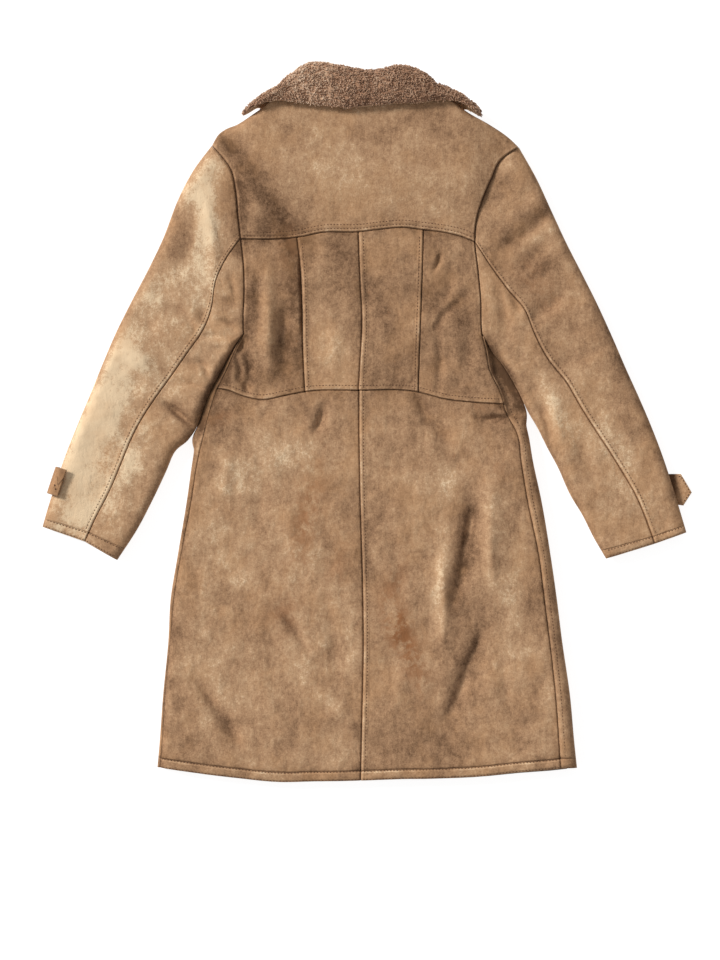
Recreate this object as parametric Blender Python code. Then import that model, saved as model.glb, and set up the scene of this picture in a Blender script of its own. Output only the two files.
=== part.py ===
"""A shearling coat laid out flat on a table, back up, as closed solids for its sewn pieces.

+X is to the wearer's right, +Y towards the collar, +Z up. The table is z = 0 and the origin is under
the middle of the coat's box. Tables and sizes are in millimetres, and the meshes in metres.

The coat is two layers of sheepskin. The fronts lie on the table and turn up round the side edges to the
side seams; the back lies on them. A point's height is a share, from -1 on the underside to 1 on the
upper side, which turns through 0 at the edge of the coat as round a flattened tube.
"""

import bmesh
import bpy
import numpy as np

MM = 0.001
GAP = 0.3  # between sewn neighbours
HALF_GAP = GAP / 2

# Levels of the body and the sleeves.
FRONT_WALL = 9.0  # hide and clipped fleece of the lower layer
BACK_WALL = 12.0  # most of the upper layer, whose fleece is less pressed
LAYER_GAP = 1.2
FLEECE_MIN = 4.5  # the least wall that a trough leaves
CREST = 24.0  # outer height of the back
NECK_CREST = 21.5  # over the collar's lower half
SLEEVE_CREST = (24.0, 23.0, 21.0)  # at armhole, elbow and cuff
MIDDLE = 11.0  # height of the outer edge line
INNER_MIDDLE = FRONT_WALL + LAYER_GAP / 2
SIDE_ROUND = 15.0
SHOULDER_ROUND = 12.0
SLEEVE_ROUND = 17.0
SEAM_ROUND = 2.0  # at armholes, where the edge is sewn on
ARMHOLE_GAP = 0.5  # from the armhole's line to the sleeve
UNDER_ROUND = 12.0  # how far in the underside leaves the table
INNER_TURN = 0.6  # of a turn's radius, from the hide's edge to the fleece's

# Hem and cuff bands, tabs and buttons.
BAND = 14.0
BAND_DROP = 2.5  # how far the band's outer face falls to its edge
BUTTON_RADIUS = 12.0
BUTTON_WALL = 3.0
BUTTON_Y = (330.0, 230.0, 130.0, 30.0)

# The front lap, measured from the centre front line.
CENTRE_FRONT = -8.0
LAP_RIGHT = -35.0  # how far the outer, right front passes the line
LAP_LEFT = 25.0
LAP_WALL = 4.6
BUTTON_LINE = -5.0
BUTTON_LIFT = 3.3
LAP_COLUMNS_LEFT = (-101.0, -70.0, -48.0, -43.0, -29.0, 3.0, 17.0)  # x where a front's section bends
LAP_COLUMNS_RIGHT = (84.0, 40.0, 17.0, 3.0, -29.0, -43.0)

# Shares up the skirt, the middle and the yoke where the pieces on both sides of a seam have points.
SKIRT_UP = (0, 0.13, 0.28, 0.43, 0.58, 0.72, 0.86, 1)
MIDDLE_UP = (0, 0.19, 0.56, 0.7, 0.85, 1)  # and both armpits
YOKE_UP = (0, 0.15, 0.32, 0.48, 0.63, 0.77, 0.89, 0.955, 1)
SIDE_CELLS = 6  # across a side panel and half a shoulder
CENTRE_CELLS = 4

# The neck: how the layers rise over the front half of the collar.
NECK_RAISE = 11.0
NECK_X = -7.0
NECK_Y = (245.0, 350.0)  # the rise starts and ends
NECK_HALF = (138.0, 212.0)

# Body sections from the hem up: the outer edges and the side seams on the upper side.
BODY_COLUMNS = ("y", "edge_left", "seam_left", "seam_right", "edge_right")
BODY = (
    (-510, -297.0, -293.0, 273.0, 298.0),
    (-444, -291.0, -287.0, 269.0, 291.0),
    (-388, -287.0, -284.0, 265.0, 286.0),
    (-304, -279.0, -276.0, 256.0, 274.0),
    (-248, -276.0, -271.0, 249.0, 267.0),
    (-192, -267.0, -262.0, 242.0, 259.0),
    (-108, -253.0, -246.0, 225.0, 245.0),
    (-52, -245.0, -237.0, 216.0, 233.0),
    (-17, -239.0, -229.0, 211.0, 227.0),
    (15, -228.5, -221.0, 195.0, 218.0),
    (43, -217.0, -212.0, 187.0, 202.0),
    (74, -201.0, -197.0, 172.0, 183.0),
    (102, -187.5, -184.5, 167.0, 172.0),
    (124, -174.5, -173.0, 161.0, 162.5),
)
ARMPIT_Y = 124.0

# Armhole seams from the armpit up.
ARMHOLE_LEFT = (
    (-173, 124), (-173.5, 144), (-172, 184), (-173, 224), (-177, 259),
    (-180, 285), (-184, 326), (-192, 357), (-203, 372), (-218, 389),
)
ARMHOLE_RIGHT = (
    (161, 124), (160, 137), (159.5, 169), (155, 218), (151, 253),
    (153, 284), (160, 309), (174, 342), (190, 371), (213, 387),
)

# Lines across and down the back.
HEM = (
    (-297, -483), (-234, -492), (-178, -499), (-122, -504), (-66, -503), (-10, -502),
    (46, -500), (102, -499), (158, -496), (214, -490), (270, -485), (298, -481),
)
WAIST = (
    (-214, 48), (-194, 45), (-176, 38), (-148, 32), (-114, 38), (-88, 43),
    (-11, 45), (70, 43), (109, 33), (152, 28), (191, 26),
)
YOKE = (
    (-177, 257), (-137, 257), (-94, 260), (-63, 266), (-11, 267), (23, 271),
    (52, 273), (77, 270), (109, 266), (134, 260), (151, 253),
)
SHOULDER = (
    (-218, 389), (-210, 403), (-200, 411), (-182, 418), (-155, 435), (-133, 449), (-94, 455), (-7, 459),
    (74, 455), (119, 448), (147, 431), (172, 418), (204, 396), (213, 387),
)
NECK_LEFT = -133.0
NECK_RIGHT = 119.0
DART_LEFT = ((-87, 43), (-90, 110), (-91, 166), (-94, 224), (-98, 260))
CENTRE_BACK = ((-12, 45), (-10, 81), (-7, 138), (-10, 210), (-12, 267))
DART_RIGHT = ((72, 43), (73, 81), (76, 166), (78, 224), (79, 270))
SKIRT_CENTRE = ((-9, -502), (-7, -416), (-5, -306), (-6, -226), (-9, -123), (-11, -13), (-11, 45))
NECKLINE_LEFT = ((-133, 449), (-110, 425), (-70, 400), (-8, 388))
NECKLINE_RIGHT = ((119, 448), (96, 425), (56, 400), (-8, 388))

# Sleeve sections from the armhole to the cuff: outer edge, back seam and inner edge.
SLEEVE_COLUMNS = ("outer_x", "outer_y", "seam_x", "seam_y", "inner_x", "inner_y")
SLEEVE_LEFT = (
    (-218, 389, -177, 259, -175.8, 124),
    (-244, 354, -199, 227, -183, 113),
    (-266, 312, -212, 197, -190, 100),
    (-286, 260, -218, 160, -199, 84),
    (-307, 216, -231, 128, -208, 67),
    (-330, 172, -254, 95, -219, 46),
    (-352, 128, -277, 62, -229, 22),
    (-371, 84, -298, 33, -238.5, -5),
    (-388, 42, -316, 5, -252, -25),
    (-404, 4, -331, -24, -270, -41),
    (-421, -38, -346, -60, -283, -70),
    (-434, -75, -361, -95, -301, -108),
    (-447, -115, -380, -132, -323, -150),
    (-456, -146, -396, -167, -351, -193),
)
SLEEVE_RIGHT = (
    (213, 387, 151, 253, 164.5, 124),
    (238, 343, 174, 218, 169.5, 112),
    (259, 298, 197, 187, 177, 98),
    (280, 253, 221, 158, 190, 82),
    (303, 208, 236, 122, 202, 63),
    (324, 166, 254, 89, 214, 41),
    (345, 120, 279, 57, 226, 16),
    (364, 76, 301, 20, 240, -8),
    (383, 34, 322, -13, 254, -36),
    (400, -6, 343, -45, 269, -64),
    (416, -48, 363, -77, 285, -100),
    (431, -94, 380, -108, 303, -130),
    (441, -127, 394, -142, 318, -160),
    (449, -154, 404, -170, 336, -191),
)
FRONT_SEAM = 0.78  # of a sleeve's width in from its outer edge, on the underside

# The largest folds of the upper side: a trough below 0, a ridge above.
FOLD_COLUMNS = ("x0", "y0", "x1", "y1", "bow", "width", "rise")
BODY_FOLDS = (
    (-203, 398, -100, 232, -14, 17, -6.0),
    (-180, 115, -168, 44, 9, 7, -6.5),
    (-150, 215, -140, 90, 4, 17, 4.0),
    (-112, 160, -118, 60, -6, 12, -4.0),
    (150, -95, 116, -255, 9, 15, -7.0),
    (163, -290, 108, -425, 6, 16, -6.0),
    (106, -165, 104, -330, 5, 15, 4.5),
    (178, -75, 182, -215, -5, 18, 4.5),
    (68, 35, 112, -40, 7, 12, -4.0),
    (160, 12, 194, 3, -5, 6, -4.5),
    (-62, 20, -72, -16, 2, 9, -4.0),
    (-242, -355, -180, -450, 5, 12, -4.0),
    (-125, -262, -82, -318, 2, 9, -3.0),
    (118, 215, 104, 170, 3, 8, -3.0),
    (138, 150, 128, 60, 10, 12, -3.5),
)
SLEEVE_FOLDS = (
    (-288, 28, -242, -8, 3, 8, -5.0),
    (-262, 60, -226, 45, 3, 8, -3.0),
    (-232, 172, -214, 118, -3, 11, -3.5),
    (-362, 96, -302, 62, 6, 12, 3.5),
    (-350, 60, -318, 30, 4, 12, -3.0),
    (226, 130, 262, 176, 4, 12, -3.5),
    (246, 60, 286, -66, 5, 11, 3.5),
    (232, 40, 262, -40, 4, 9, -3.0),
    (206, 168, 240, 118, 4, 12, 3.0),
)

# The collar's lines in plan. Each starts at a side edge of the neck.
ROLL_BACK = (
    (-122, 482), (-105, 494), (-90, 502), (-77, 504.5), (-59, 504), (-38, 500), (-17, 496),
    (7, 493), (25, 496), (46, 501), (60, 499), (73, 494), (96, 481),
)
EDGE_BACK = (
    (-181, 424), (-168, 434), (-153, 443), (-132, 448), (-94, 446), (-66, 442), (-31, 439),
    (-7, 440), (18, 443), (74, 446), (112, 449), (127, 448), (140, 441), (154, 431), (169, 423),
)
SEWN_BACK = ((-145, 459), (-133, 458), (-94, 459), (-7, 461), (74, 459), (119, 457), (131, 458))
ROLL_FRONT_LEFT = ((-122, 482), (-100, 478), (-72, 456), (-22, 440))
EDGE_FRONT_LEFT = (
    (-181, 424), (-166, 435), (-152, 443), (-140, 438), (-126, 408), (-104, 372), (-70, 354), (-22, 358),
)
SEWN_FRONT_LEFT = ((-145, 459), (-133, 458), (-121, 454), (-106, 431), (-69, 407), (-22, 394))
ROLL_FRONT_RIGHT = ((96, 481), (76, 476), (50, 456), (8, 440))
EDGE_FRONT_RIGHT = (
    (169, 423), (153, 434), (138, 441), (126, 436), (112, 406), (92, 372), (58, 354), (8, 358),
)
SEWN_FRONT_RIGHT = ((131, 458), (119, 457), (107, 454), (92, 431), (55, 408), (8, 395))
NECK_LEVEL = 21.25  # between the two layers of the neck
COLLAR_REACH = 24.0  # of the fall's face from that level
UNDER_SHARE = 0.88  # the lower half is pressed to this share
# Round the collar's section: place from -1 at the neck seam, 0 at the roll, to 1 at the free edge,
# layer out from the neck level, and how far past the roll line's base it bulges.
SECTION_COLUMNS = ("place", "layer", "bulge")
COLLAR_SECTION = (
    (-1.0, 0.8, 0.0), (-0.5, 0.8, 0.0), (0.0, 0.8, 0.0), (0.0, 3.0, 7.0), (0.0, 9.0, 11.0), (0.0, 16.0, 11.0),
    (0.0, 22.0, 7.0), (0.06, 24.0, 0.0), (0.35, 24.0, 0.0), (0.65, 23.5, 0.0), (0.88, 22.0, 0.0),
    (1.0, 18.0, 0.0), (1.0, 13.6, 0.0), (0.6, 13.0, 0.0), (0.2, 13.0, 0.0), (0.0, 12.4, 2.0),
    (-0.15, 11.7, 0.0), (-0.6, 11.7, 0.0), (-1.0, 11.7, 0.0),
)
FREE_EDGE = (1.0, 18.0, 0.0)
ROLL_BULGE = 11.0

# Cuff tabs. The left one hooks over the sleeve's edge: how far in from that edge, and the height.
HOOK = ((-2.5, 3.0), (-5.5, 9.0), (-5.8, 15.0), (-3.5, 21.0), (1.5, 26.0), (8.5, 28.0))
HOOK_DOWN = (0.8225, 0.8945)  # of the sleeve's length
TAB_WALL = 3.0
# The right one is a pointed strap that stands out from under the edge: outline, and rise at its rim.
STRAP = ((422.5, -72.0), (442.0, -72.0), (457.0, -98.0), (445.5, -116.5), (435.5, -115.0))
STRAP_RISE = (0.6, 5.0, 6.5, 4.0, 0.6)
STRAP_WALL = 2.4

SUEDE = (0.42, 0.27, 0.15)
DARK_SUEDE = (0.30, 0.18, 0.10)
FLEECE = (0.36, 0.24, 0.16)
HORN = (0.09, 0.05, 0.03)


def smooth_track(stations, values):
    """A function that passes smoothly through the values, and runs straight on past the ends."""
    at, value = np.array(stations, float), np.array(values, float)
    slope = np.gradient(value, at)

    def read(x):
        x = np.asarray(x, float)
        held = np.clip(x, at[0], at[-1])
        i = np.clip(np.searchsorted(at, held, side="right") - 1, 0, len(at) - 2)
        step = at[i + 1] - at[i]
        t = (held - at[i]) / step
        start = value[i] * (1 + 2 * t) * (1 - t) ** 2 + slope[i] * step * t * (1 - t) ** 2
        end = value[i + 1] * t * t * (3 - 2 * t) - slope[i + 1] * step * t * t * (1 - t)
        return start + end + (x - held) * np.where(x < at[0], slope[0], slope[-1])

    return read


def smooth_line(points):
    """A function from a share of the line's length to the point there."""
    line = np.array(points, float)
    run = np.concatenate([[0], np.cumsum(np.linalg.norm(np.diff(line, axis=0), axis=1))])
    across, along = smooth_track(run / run[-1], line[:, 0]), smooth_track(run / run[-1], line[:, 1])
    return lambda share: np.stack([across(share), along(share)], axis=-1)


def length_of(points):
    return float(np.linalg.norm(np.diff(np.array(points, float), axis=0), axis=1).sum())


def columns(names, table):
    return {name: np.array([row[i] for row in table], float) for i, name in enumerate(names)}


def smoothstep(x):
    x = np.clip(x, 0, 1)
    return x * x * (3 - 2 * x)


def between(low, high, shares):
    return low + (high - low) * np.asarray(shares, float)


def across_at_y(points):
    """x along a line that climbs in y."""
    table = np.array(points, float)
    return smooth_track(table[:, 1], table[:, 0])


def along_at_x(points):
    """y along a line that runs in x, either way."""
    table = np.array(sorted(points), float)
    return smooth_track(table[:, 0], table[:, 1])


body = columns(BODY_COLUMNS, BODY)
hem_y, waist_y, yoke_y, shoulder_y = (along_at_x(line) for line in (HEM, WAIST, YOKE, SHOULDER))
dart_left, centre_back, dart_right, skirt_centre = (
    across_at_y(line) for line in (DART_LEFT, CENTRE_BACK, DART_RIGHT, SKIRT_CENTRE)
)


def band_y(x):
    """The seam of the hem band."""
    return hem_y(x) + BAND


def meeting(x_of_y, y_of_x, guess):
    """The y where a line that climbs meets a line that crosses."""
    y = guess
    for _ in range(20):
        y = float(y_of_x(x_of_y(y)))
    return y


class Side:
    """One side of the body: its edge, side seam and armhole as x for a y, and where its rows start."""

    def __init__(self, name):
        left = name == "left"
        self.name = name
        self.inward = 1 if left else -1
        self.edge = smooth_track(body["y"], body["edge_" + name])
        self.seam = smooth_track(body["y"], body["seam_" + name])
        self.armhole = across_at_y(ARMHOLE_LEFT if left else ARMHOLE_RIGHT)
        self.neckline = along_at_x(NECKLINE_LEFT if left else NECKLINE_RIGHT)
        self.neck_x = NECK_LEFT if left else NECK_RIGHT
        self.lap = CENTRE_FRONT + (LAP_LEFT if left else LAP_RIGHT)
        self.lap_columns = LAP_COLUMNS_LEFT if left else LAP_COLUMNS_RIGHT
        self.shoulder_end = SHOULDER[0 if left else -1]
        self.hem = meeting(self.seam, hem_y, -484)
        self.band = meeting(self.seam, band_y, -470)
        self.waist = meeting(self.seam, waist_y, 40)
        self.yoke = meeting(self.armhole, yoke_y, 255)
        self.armpit_share = (ARMPIT_Y - self.waist) / (self.yoke - self.waist)

    def above(self, x_of_y):
        """The edge or the seam, which both end at the armpit, and the armhole above it."""
        return lambda y: np.where(np.asarray(y) < ARMPIT_Y, x_of_y(y), self.armhole(y))

    def sewn_armhole(self, y):
        """x along the armhole's straight stretches between the body's rows."""
        rows = np.concatenate([between(self.waist, self.yoke, MIDDLE_ROWS), self.yoke_rows()[1:]])
        return np.interp(y, rows, self.armhole(rows))

    def yoke_rows(self):
        return between(self.yoke, self.shoulder_end[1] - HALF_GAP, YOKE_UP)


SIDES = {name: Side(name) for name in ("left", "right")}
MIDDLE_ROWS = np.sort([*MIDDLE_UP, *(side.armpit_share for side in SIDES.values())])


def folds_at(x, y, table):
    """Height that the folds add: soft troughs and ridges along bowed lines, which fade to their ends."""
    total = np.zeros(np.broadcast(x, y).shape)
    for x0, y0, x1, y1, bow, width, rise in table:
        length = np.hypot(x1 - x0, y1 - y0)
        ux, uy = (x1 - x0) / length, (y1 - y0) / length
        along = ((x - x0) * ux + (y - y0) * uy) / length
        held = np.clip(along, 0, 1)
        aside = (x - x0) * -uy + (y - y0) * ux - bow * 4 * held * (1 - held)
        past = (along - held) * length
        fade = np.sin(np.pi * (0.12 + 0.76 * held))
        total = total + rise * fade * np.exp(-(aside**2 + past**2) / width**2)
    return total


def neck_share(x, y):
    """1 over the front half of the collar, 0 where the coat is down on the table."""
    low, high = NECK_Y
    near, far = NECK_HALF
    return smoothstep((y - low) / (high - low)) * smoothstep((far - np.abs(x - NECK_X)) / (far - near))


def turn(distance, radius):
    """(share, inset) at a distance in from an edge: the sine and cosine of how far the edge has turned."""
    cosine = np.clip(1 - distance / radius, 0, 1)
    return np.sqrt(1 - cosine**2), cosine


def wrapped(run, radius):
    """(distance in from the edge, share) at a run along the section, above the edge or below it."""
    angle = np.clip(np.abs(run) / radius, 0, np.pi / 2)
    past = np.maximum(np.abs(run) - radius * np.pi / 2, 0)
    return radius * (1 - np.cos(angle)) + past, np.sin(angle) * np.sign(run)


def run_to(distance, radius):
    """The run along a section that reaches a distance in from the edge."""
    turned = radius * np.arccos(np.clip(1 - distance / radius, -1, 1))
    return np.where(distance < radius, turned, radius * np.pi / 2 + distance - radius)


def side_round(y):
    return SEAM_ROUND + (SIDE_ROUND - SEAM_ROUND) * smoothstep((ARMPIT_Y - y) / 70)


def shoulder_turn(x, y, radius):
    """(share, inset) at the shoulders' edge. Along the neck, where the collar is sewn on, nothing turns."""
    slope = (shoulder_y(x + 1) - shoulder_y(x - 1)) / 2
    share, inset = turn(np.maximum(shoulder_y(x) - y, 0) / np.hypot(1, slope), radius)
    sewn = np.clip(smoothstep((NECK_LEFT - x) / 18) + smoothstep((x - NECK_RIGHT) / 18), 0, 1)
    return 1 + (share - 1) * sewn, inset * sewn


def lap_lift(x):
    """How far the lap stands over the buttons."""
    return BUTTON_LIFT * smoothstep((30 - np.abs(x - CENTRE_FRONT - BUTTON_LINE)) / 14)


def front_fill(x):
    """Level that the fronts fill below the back: one wall, or at the lap two thinner ones and the buttons."""
    lap = smoothstep((90 - np.abs(x - CENTRE_FRONT + 10)) / 40)
    return FRONT_WALL + (BUTTON_LIFT + 2 * LAP_WALL + GAP - FRONT_WALL) * lap


def crest_at(x, y):
    """Outer height of the back away from its edges."""
    neck = neck_share(x, y)
    flat = CREST + (NECK_CREST - CREST) * neck + folds_at(x, y, BODY_FOLDS) * (1 - neck)
    return NECK_RAISE * neck + np.maximum(flat, front_fill(x) + LAYER_GAP + FLEECE_MIN)


def inside_armholes(x, y):
    """x kept between the armholes, where a turned shoulder's inner edge would pass them."""
    left, right = (side.sewn_armhole(y) + side.inward * HALF_GAP for side in SIDES.values())
    return np.where(y > ARMPIT_Y, np.clip(x, left, right), x)


def back_layer(plan):
    """(outer, inner) points of the upper layer over plan points."""
    x, y = plan[..., 0], plan[..., 1]
    raised, crest = NECK_RAISE * neck_share(x, y), crest_at(x, y)
    below = y < ARMPIT_Y
    left, left_inset = turn(np.where(below, x - SIDES["left"].edge(y), 1e3), side_round(y))
    right, right_inset = turn(np.where(below, SIDES["right"].edge(y) - x, 1e3), side_round(y))
    top, top_inset = shoulder_turn(x, y, SHOULDER_ROUND)
    share = left * right * top
    ceiling = np.maximum(front_fill(x) + LAYER_GAP + raised, crest - BACK_WALL)
    outer_z = raised + MIDDLE + GAP + share * (crest - raised - MIDDLE - GAP)
    inner_z = raised + INNER_MIDDLE + GAP + share * (ceiling - raised - INNER_MIDDLE - GAP)
    inner_x = x + INNER_TURN * side_round(y) * (left_inset - right_inset)
    inner_y = y - INNER_TURN * SHOULDER_ROUND * top_inset
    inner_x = inside_armholes(inner_x, inner_y)
    return np.stack([x, y, outer_z], axis=-1), np.stack([inner_x, inner_y, inner_z], axis=-1)


def coons(left, right, bottom, top, across, up):
    """Plan points of a patch inside four lines of points, at its shares across and up."""
    u, v = across[None, :, None], up[:, None, None]
    sides = (1 - u) * left[:, None] + u * right[:, None]
    ends = (1 - v) * bottom[None] + v * top[None]
    low, high = ((1 - u) * end[0] + u * end[-1] for end in (bottom, top))
    return sides + ends - (1 - v) * low - v * high


def climbing(x_of_y, y, shift=0.0):
    return np.stack([x_of_y(y) + shift, y], axis=-1)


def crossing(y_of_x, x, shift=0.0):
    return np.stack([x, y_of_x(x) + shift], axis=-1)


def material(name, colour, roughness):
    made = bpy.data.materials.new(name)
    made.use_nodes = True
    shader = made.node_tree.nodes["Principled BSDF"]
    shader.inputs["Base Color"].default_value = (*colour, 1)
    shader.inputs["Roughness"].default_value = roughness
    shader.inputs["Metallic"].default_value = 0.0
    return made


def add_object(name, mesh, finish):
    bmesh.ops.recalc_face_normals(mesh, faces=mesh.faces)
    data = bpy.data.meshes.new(name)
    mesh.to_mesh(data)
    mesh.free()
    data.materials.append(finish)
    made = bpy.data.objects.new(name, data)
    bpy.context.scene.collection.objects.link(made)
    return made


def add_wall(name, outer, inner, finish):
    """A closed wall between two grids of points. Rims on both sides of a seam are split the same way."""
    rows, count = outer.shape[:2]
    mesh = bmesh.new()
    grids = [[[mesh.verts.new(p * MM) for p in row] for row in grid] for grid in (outer, inner)]
    for grid in grids:
        for j in range(rows - 1):
            for i in range(count - 1):
                mesh.faces.new((grid[j][i], grid[j][i + 1], grid[j + 1][i + 1], grid[j + 1][i]))
    face, back = grids
    steps = [((j, i), (j, i + 1)) for j in (0, rows - 1) for i in range(count - 1)]
    steps += [((j, i), (j + 1, i)) for i in (0, count - 1) for j in range(rows - 1)]
    for (j, i), (n, m) in steps:
        mesh.faces.new((face[j][i], face[n][m], back[n][m]))
        mesh.faces.new((face[j][i], back[n][m], back[j][i]))
    return add_object(name, mesh, finish)


def add_cap(mesh, ring, split):
    """Closes a ring that is two chains side by side, across the shorter diagonal each time."""
    near, far = ring[:split], ring[split:][::-1]
    i = j = 0
    while i < len(near) - 1 or j < len(far) - 1:
        if j == len(far) - 1:
            step_near = True
        elif i == len(near) - 1:
            step_near = False
        else:
            step_near = (near[i + 1].co - far[j].co).length < (near[i].co - far[j + 1].co).length
        if step_near:
            mesh.faces.new((near[i], near[i + 1], far[j]))
            i += 1
        else:
            mesh.faces.new((near[i], far[j + 1], far[j]))
            j += 1


def add_loft(name, rings, split, finish):
    """A closed solid through rings of points. Its ends are closed between the chains that meet at split."""
    mesh = bmesh.new()
    made = [[mesh.verts.new(p * MM) for p in ring] for ring in rings]
    for first, second in zip(made, made[1:]):
        for i in range(len(first)):
            k = (i + 1) % len(first)
            mesh.faces.new((first[i], first[k], second[k], second[i]))
    for end in (made[0], made[-1]):
        add_cap(mesh, end, split)
    return add_object(name, mesh, finish)


def back_panel(name, lines, ends, across, up, finish):
    """A piece of the back: lines climb on its left and right, each with the y where it starts and stops."""
    (left, left_low, left_high), (right, right_low, right_high) = lines
    bottom, top = ends
    up = np.asarray(up, float)
    left_points = climbing(left, between(left_low + HALF_GAP, left_high - HALF_GAP, up), HALF_GAP)
    right_points = climbing(right, between(right_low + HALF_GAP, right_high - HALF_GAP, up), -HALF_GAP)
    low_x, high_x = (between(left_points[k, 0], right_points[k, 0], across) for k in (0, -1))
    bottom_points, top_points = crossing(bottom, low_x, HALF_GAP), crossing(top, high_x, -HALF_GAP)
    plan = coons(left_points, right_points, bottom_points, top_points, across, up)
    return add_wall(name, *back_layer(plan), finish)


def make_back(finish):
    """The skirt's two panels, the four above the waist, and the hem bands of the back."""
    side_cells, centre_cells = np.linspace(0, 1, SIDE_CELLS + 1), np.linspace(0, 1, CENTRE_CELLS + 1)
    centre_span = (centre_back, meeting(centre_back, waist_y, 45), meeting(centre_back, yoke_y, 267))
    hem_centre, band_centre, waist_centre = (meeting(skirt_centre, y, -490) for y in (hem_y, band_y, waist_y))
    for name, side in SIDES.items():
        dart = dart_left if name == "left" else dart_right
        dart_span = (dart, meeting(dart, waist_y, 43), meeting(dart, yoke_y, 265))
        dart_share = (dart(43) - side.seam(side.waist)) / (skirt_centre(waist_centre) - side.seam(side.waist))
        across = np.concatenate([side_cells * dart_share, between(dart_share, 1, centre_cells)[1:]])
        panels = (
            ("hem_band_back", (side.seam, side.hem, side.band), (skirt_centre, hem_centre, band_centre)),
            ("skirt_back", (side.seam, side.band, side.waist), (skirt_centre, band_centre, waist_centre)),
            ("back_side", (side.above(side.seam), side.waist, side.yoke), dart_span),
            ("back_centre", dart_span, centre_span),
        )
        shares = (across, across, side_cells, centre_cells)
        ends = ((hem_y, band_y), (band_y, waist_y), (waist_y, yoke_y), (waist_y, yoke_y))
        ups = ((0, 0.35, 1), SKIRT_UP, MIDDLE_ROWS, MIDDLE_ROWS)
        for (kind, outer, inner), share, end, up in zip(panels, shares, ends, ups):
            if name == "left":
                back_panel(f"{kind}_{name}", (outer, inner), end, share, up, finish)
            else:
                back_panel(f"{kind}_{name}", (inner, outer), end, 1 - share[::-1], up, finish)


def shoulder_x(units):
    """x along the shoulders and the neck, counted in points of their table."""
    return smooth_track(range(len(SHOULDER)), [x for x, _ in SHOULDER])(units)


def make_yoke(finish):
    """The yoke, from the seam across the back up to the shoulders and the neck."""
    left, right = SIDES["left"], SIDES["right"]
    corners = [0, 5, 7, 9, len(SHOULDER) - 1]
    stops = [
        left.armhole(left.yoke), dart_left(262), centre_back(267), dart_right(270), right.armhole(right.yoke),
    ]
    cells = [SIDE_CELLS, CENTRE_CELLS, CENTRE_CELLS, SIDE_CELLS]
    shares = [np.linspace(0, 1, count + 1)[min(i, 1):] for i, count in enumerate(cells)]
    units, low_x = (
        np.concatenate([between(ends[i], ends[i + 1], share) for i, share in enumerate(shares)])
        for ends in (corners, stops)
    )
    top_x = shoulder_x(units)
    low_x[[0, -1]] += (HALF_GAP, -HALF_GAP)
    bottom, top = crossing(yoke_y, low_x, HALF_GAP), crossing(shoulder_y, top_x, -HALF_GAP)
    left_points = climbing(left.armhole, left.yoke_rows(), HALF_GAP)
    right_points = climbing(right.armhole, right.yoke_rows(), -HALF_GAP)
    top[0], top[-1] = left_points[-1], right_points[-1]
    bottom[0], bottom[-1] = left_points[0], right_points[0]
    across = (low_x - low_x[0]) / (low_x[-1] - low_x[0])
    plan = coons(left_points, right_points, bottom, top, across, np.asarray(YOKE_UP, float))
    add_wall("yoke", *back_layer(plan), finish)


def front_plan(side):
    """The rows of a front as fine lines of plan points from its outer edge to its lap."""
    rows = np.concatenate([
        between(side.band + HALF_GAP, side.waist, SKIRT_UP),
        between(side.waist, side.yoke, MIDDLE_ROWS)[1:],
        side.yoke_rows()[1:],
    ])
    lap = side.lap
    waist, yoke = float(waist_y(lap)), float(yoke_y(lap))
    centre = np.concatenate([
        between(float(band_y(lap)) + HALF_GAP, waist, SKIRT_UP),
        between(waist, yoke, MIDDLE_ROWS)[1:],
        between(yoke, float(side.neckline(lap)) - HALF_GAP, YOKE_UP)[1:],
    ])
    edge = climbing(side.above(side.edge), rows)
    fine = np.linspace(0, 1, 161)
    low_x, high_x = between(edge[0, 0], lap, fine), between(edge[-1, 0], lap, fine)
    on_shoulder = (high_x - side.neck_x) * side.inward < 0
    high_y = np.where(on_shoulder, shoulder_y(high_x), side.neckline(high_x))
    top = np.stack([high_x, high_y - HALF_GAP], axis=-1)
    top[0] = edge[-1]
    centre_points = np.stack([np.full(len(centre), lap), centre], axis=-1)
    bottom = crossing(band_y, low_x, HALF_GAP)
    up = (rows - rows[0]) / (rows[-1] - rows[0])
    return rows, coons(edge, centre_points, bottom, top, fine, up)


def front_section(side, y, line, high_share):
    """Plan points and shares of a front's section: from the side seam round the edge and in to the lap."""
    radius = float(side_round(y))
    quarter = radius * np.pi / 2
    if y < ARMPIT_Y:
        reach = max(side.inward * float(side.seam(y) - side.edge(y)) - HALF_GAP, HALF_GAP)
        over = np.linspace(float(run_to(reach, radius)), 0, 5)
        run = np.concatenate([over, -np.linspace(0, quarter, 4)[1:]])
    else:
        run = -np.linspace(0, quarter, 8)
    distance, share = wrapped(run, radius)
    turned_x = line[0, 0] + side.inward * distance
    shares = np.arange(1, SIDE_CELLS + 1)
    ends = (0, 5) if side.name == "left" else (len(SHOULDER) - 1, 9)
    shoulder = shoulder_x(between(*ends, shares / SIDE_CELLS))
    top_start = side.shoulder_end[0] + side.inward * SEAM_ROUND
    shoulder = (shoulder - top_start) / (side.lap_columns[0] - top_start)
    flat = shares / (SIDE_CELLS + 1)
    flat_x = between(turned_x[-1], side.lap_columns[0], flat + (shoulder - flat) * high_share)
    x = np.concatenate([turned_x, flat_x, side.lap_columns])
    share = np.concatenate([share, np.full(len(x) - len(run), -1.0)])
    order = slice(None, None, side.inward)
    along = np.interp(x, line[order, 0], line[order, 1])
    return np.stack([x, np.where(share >= 0, y, along)], axis=-1), share


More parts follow.
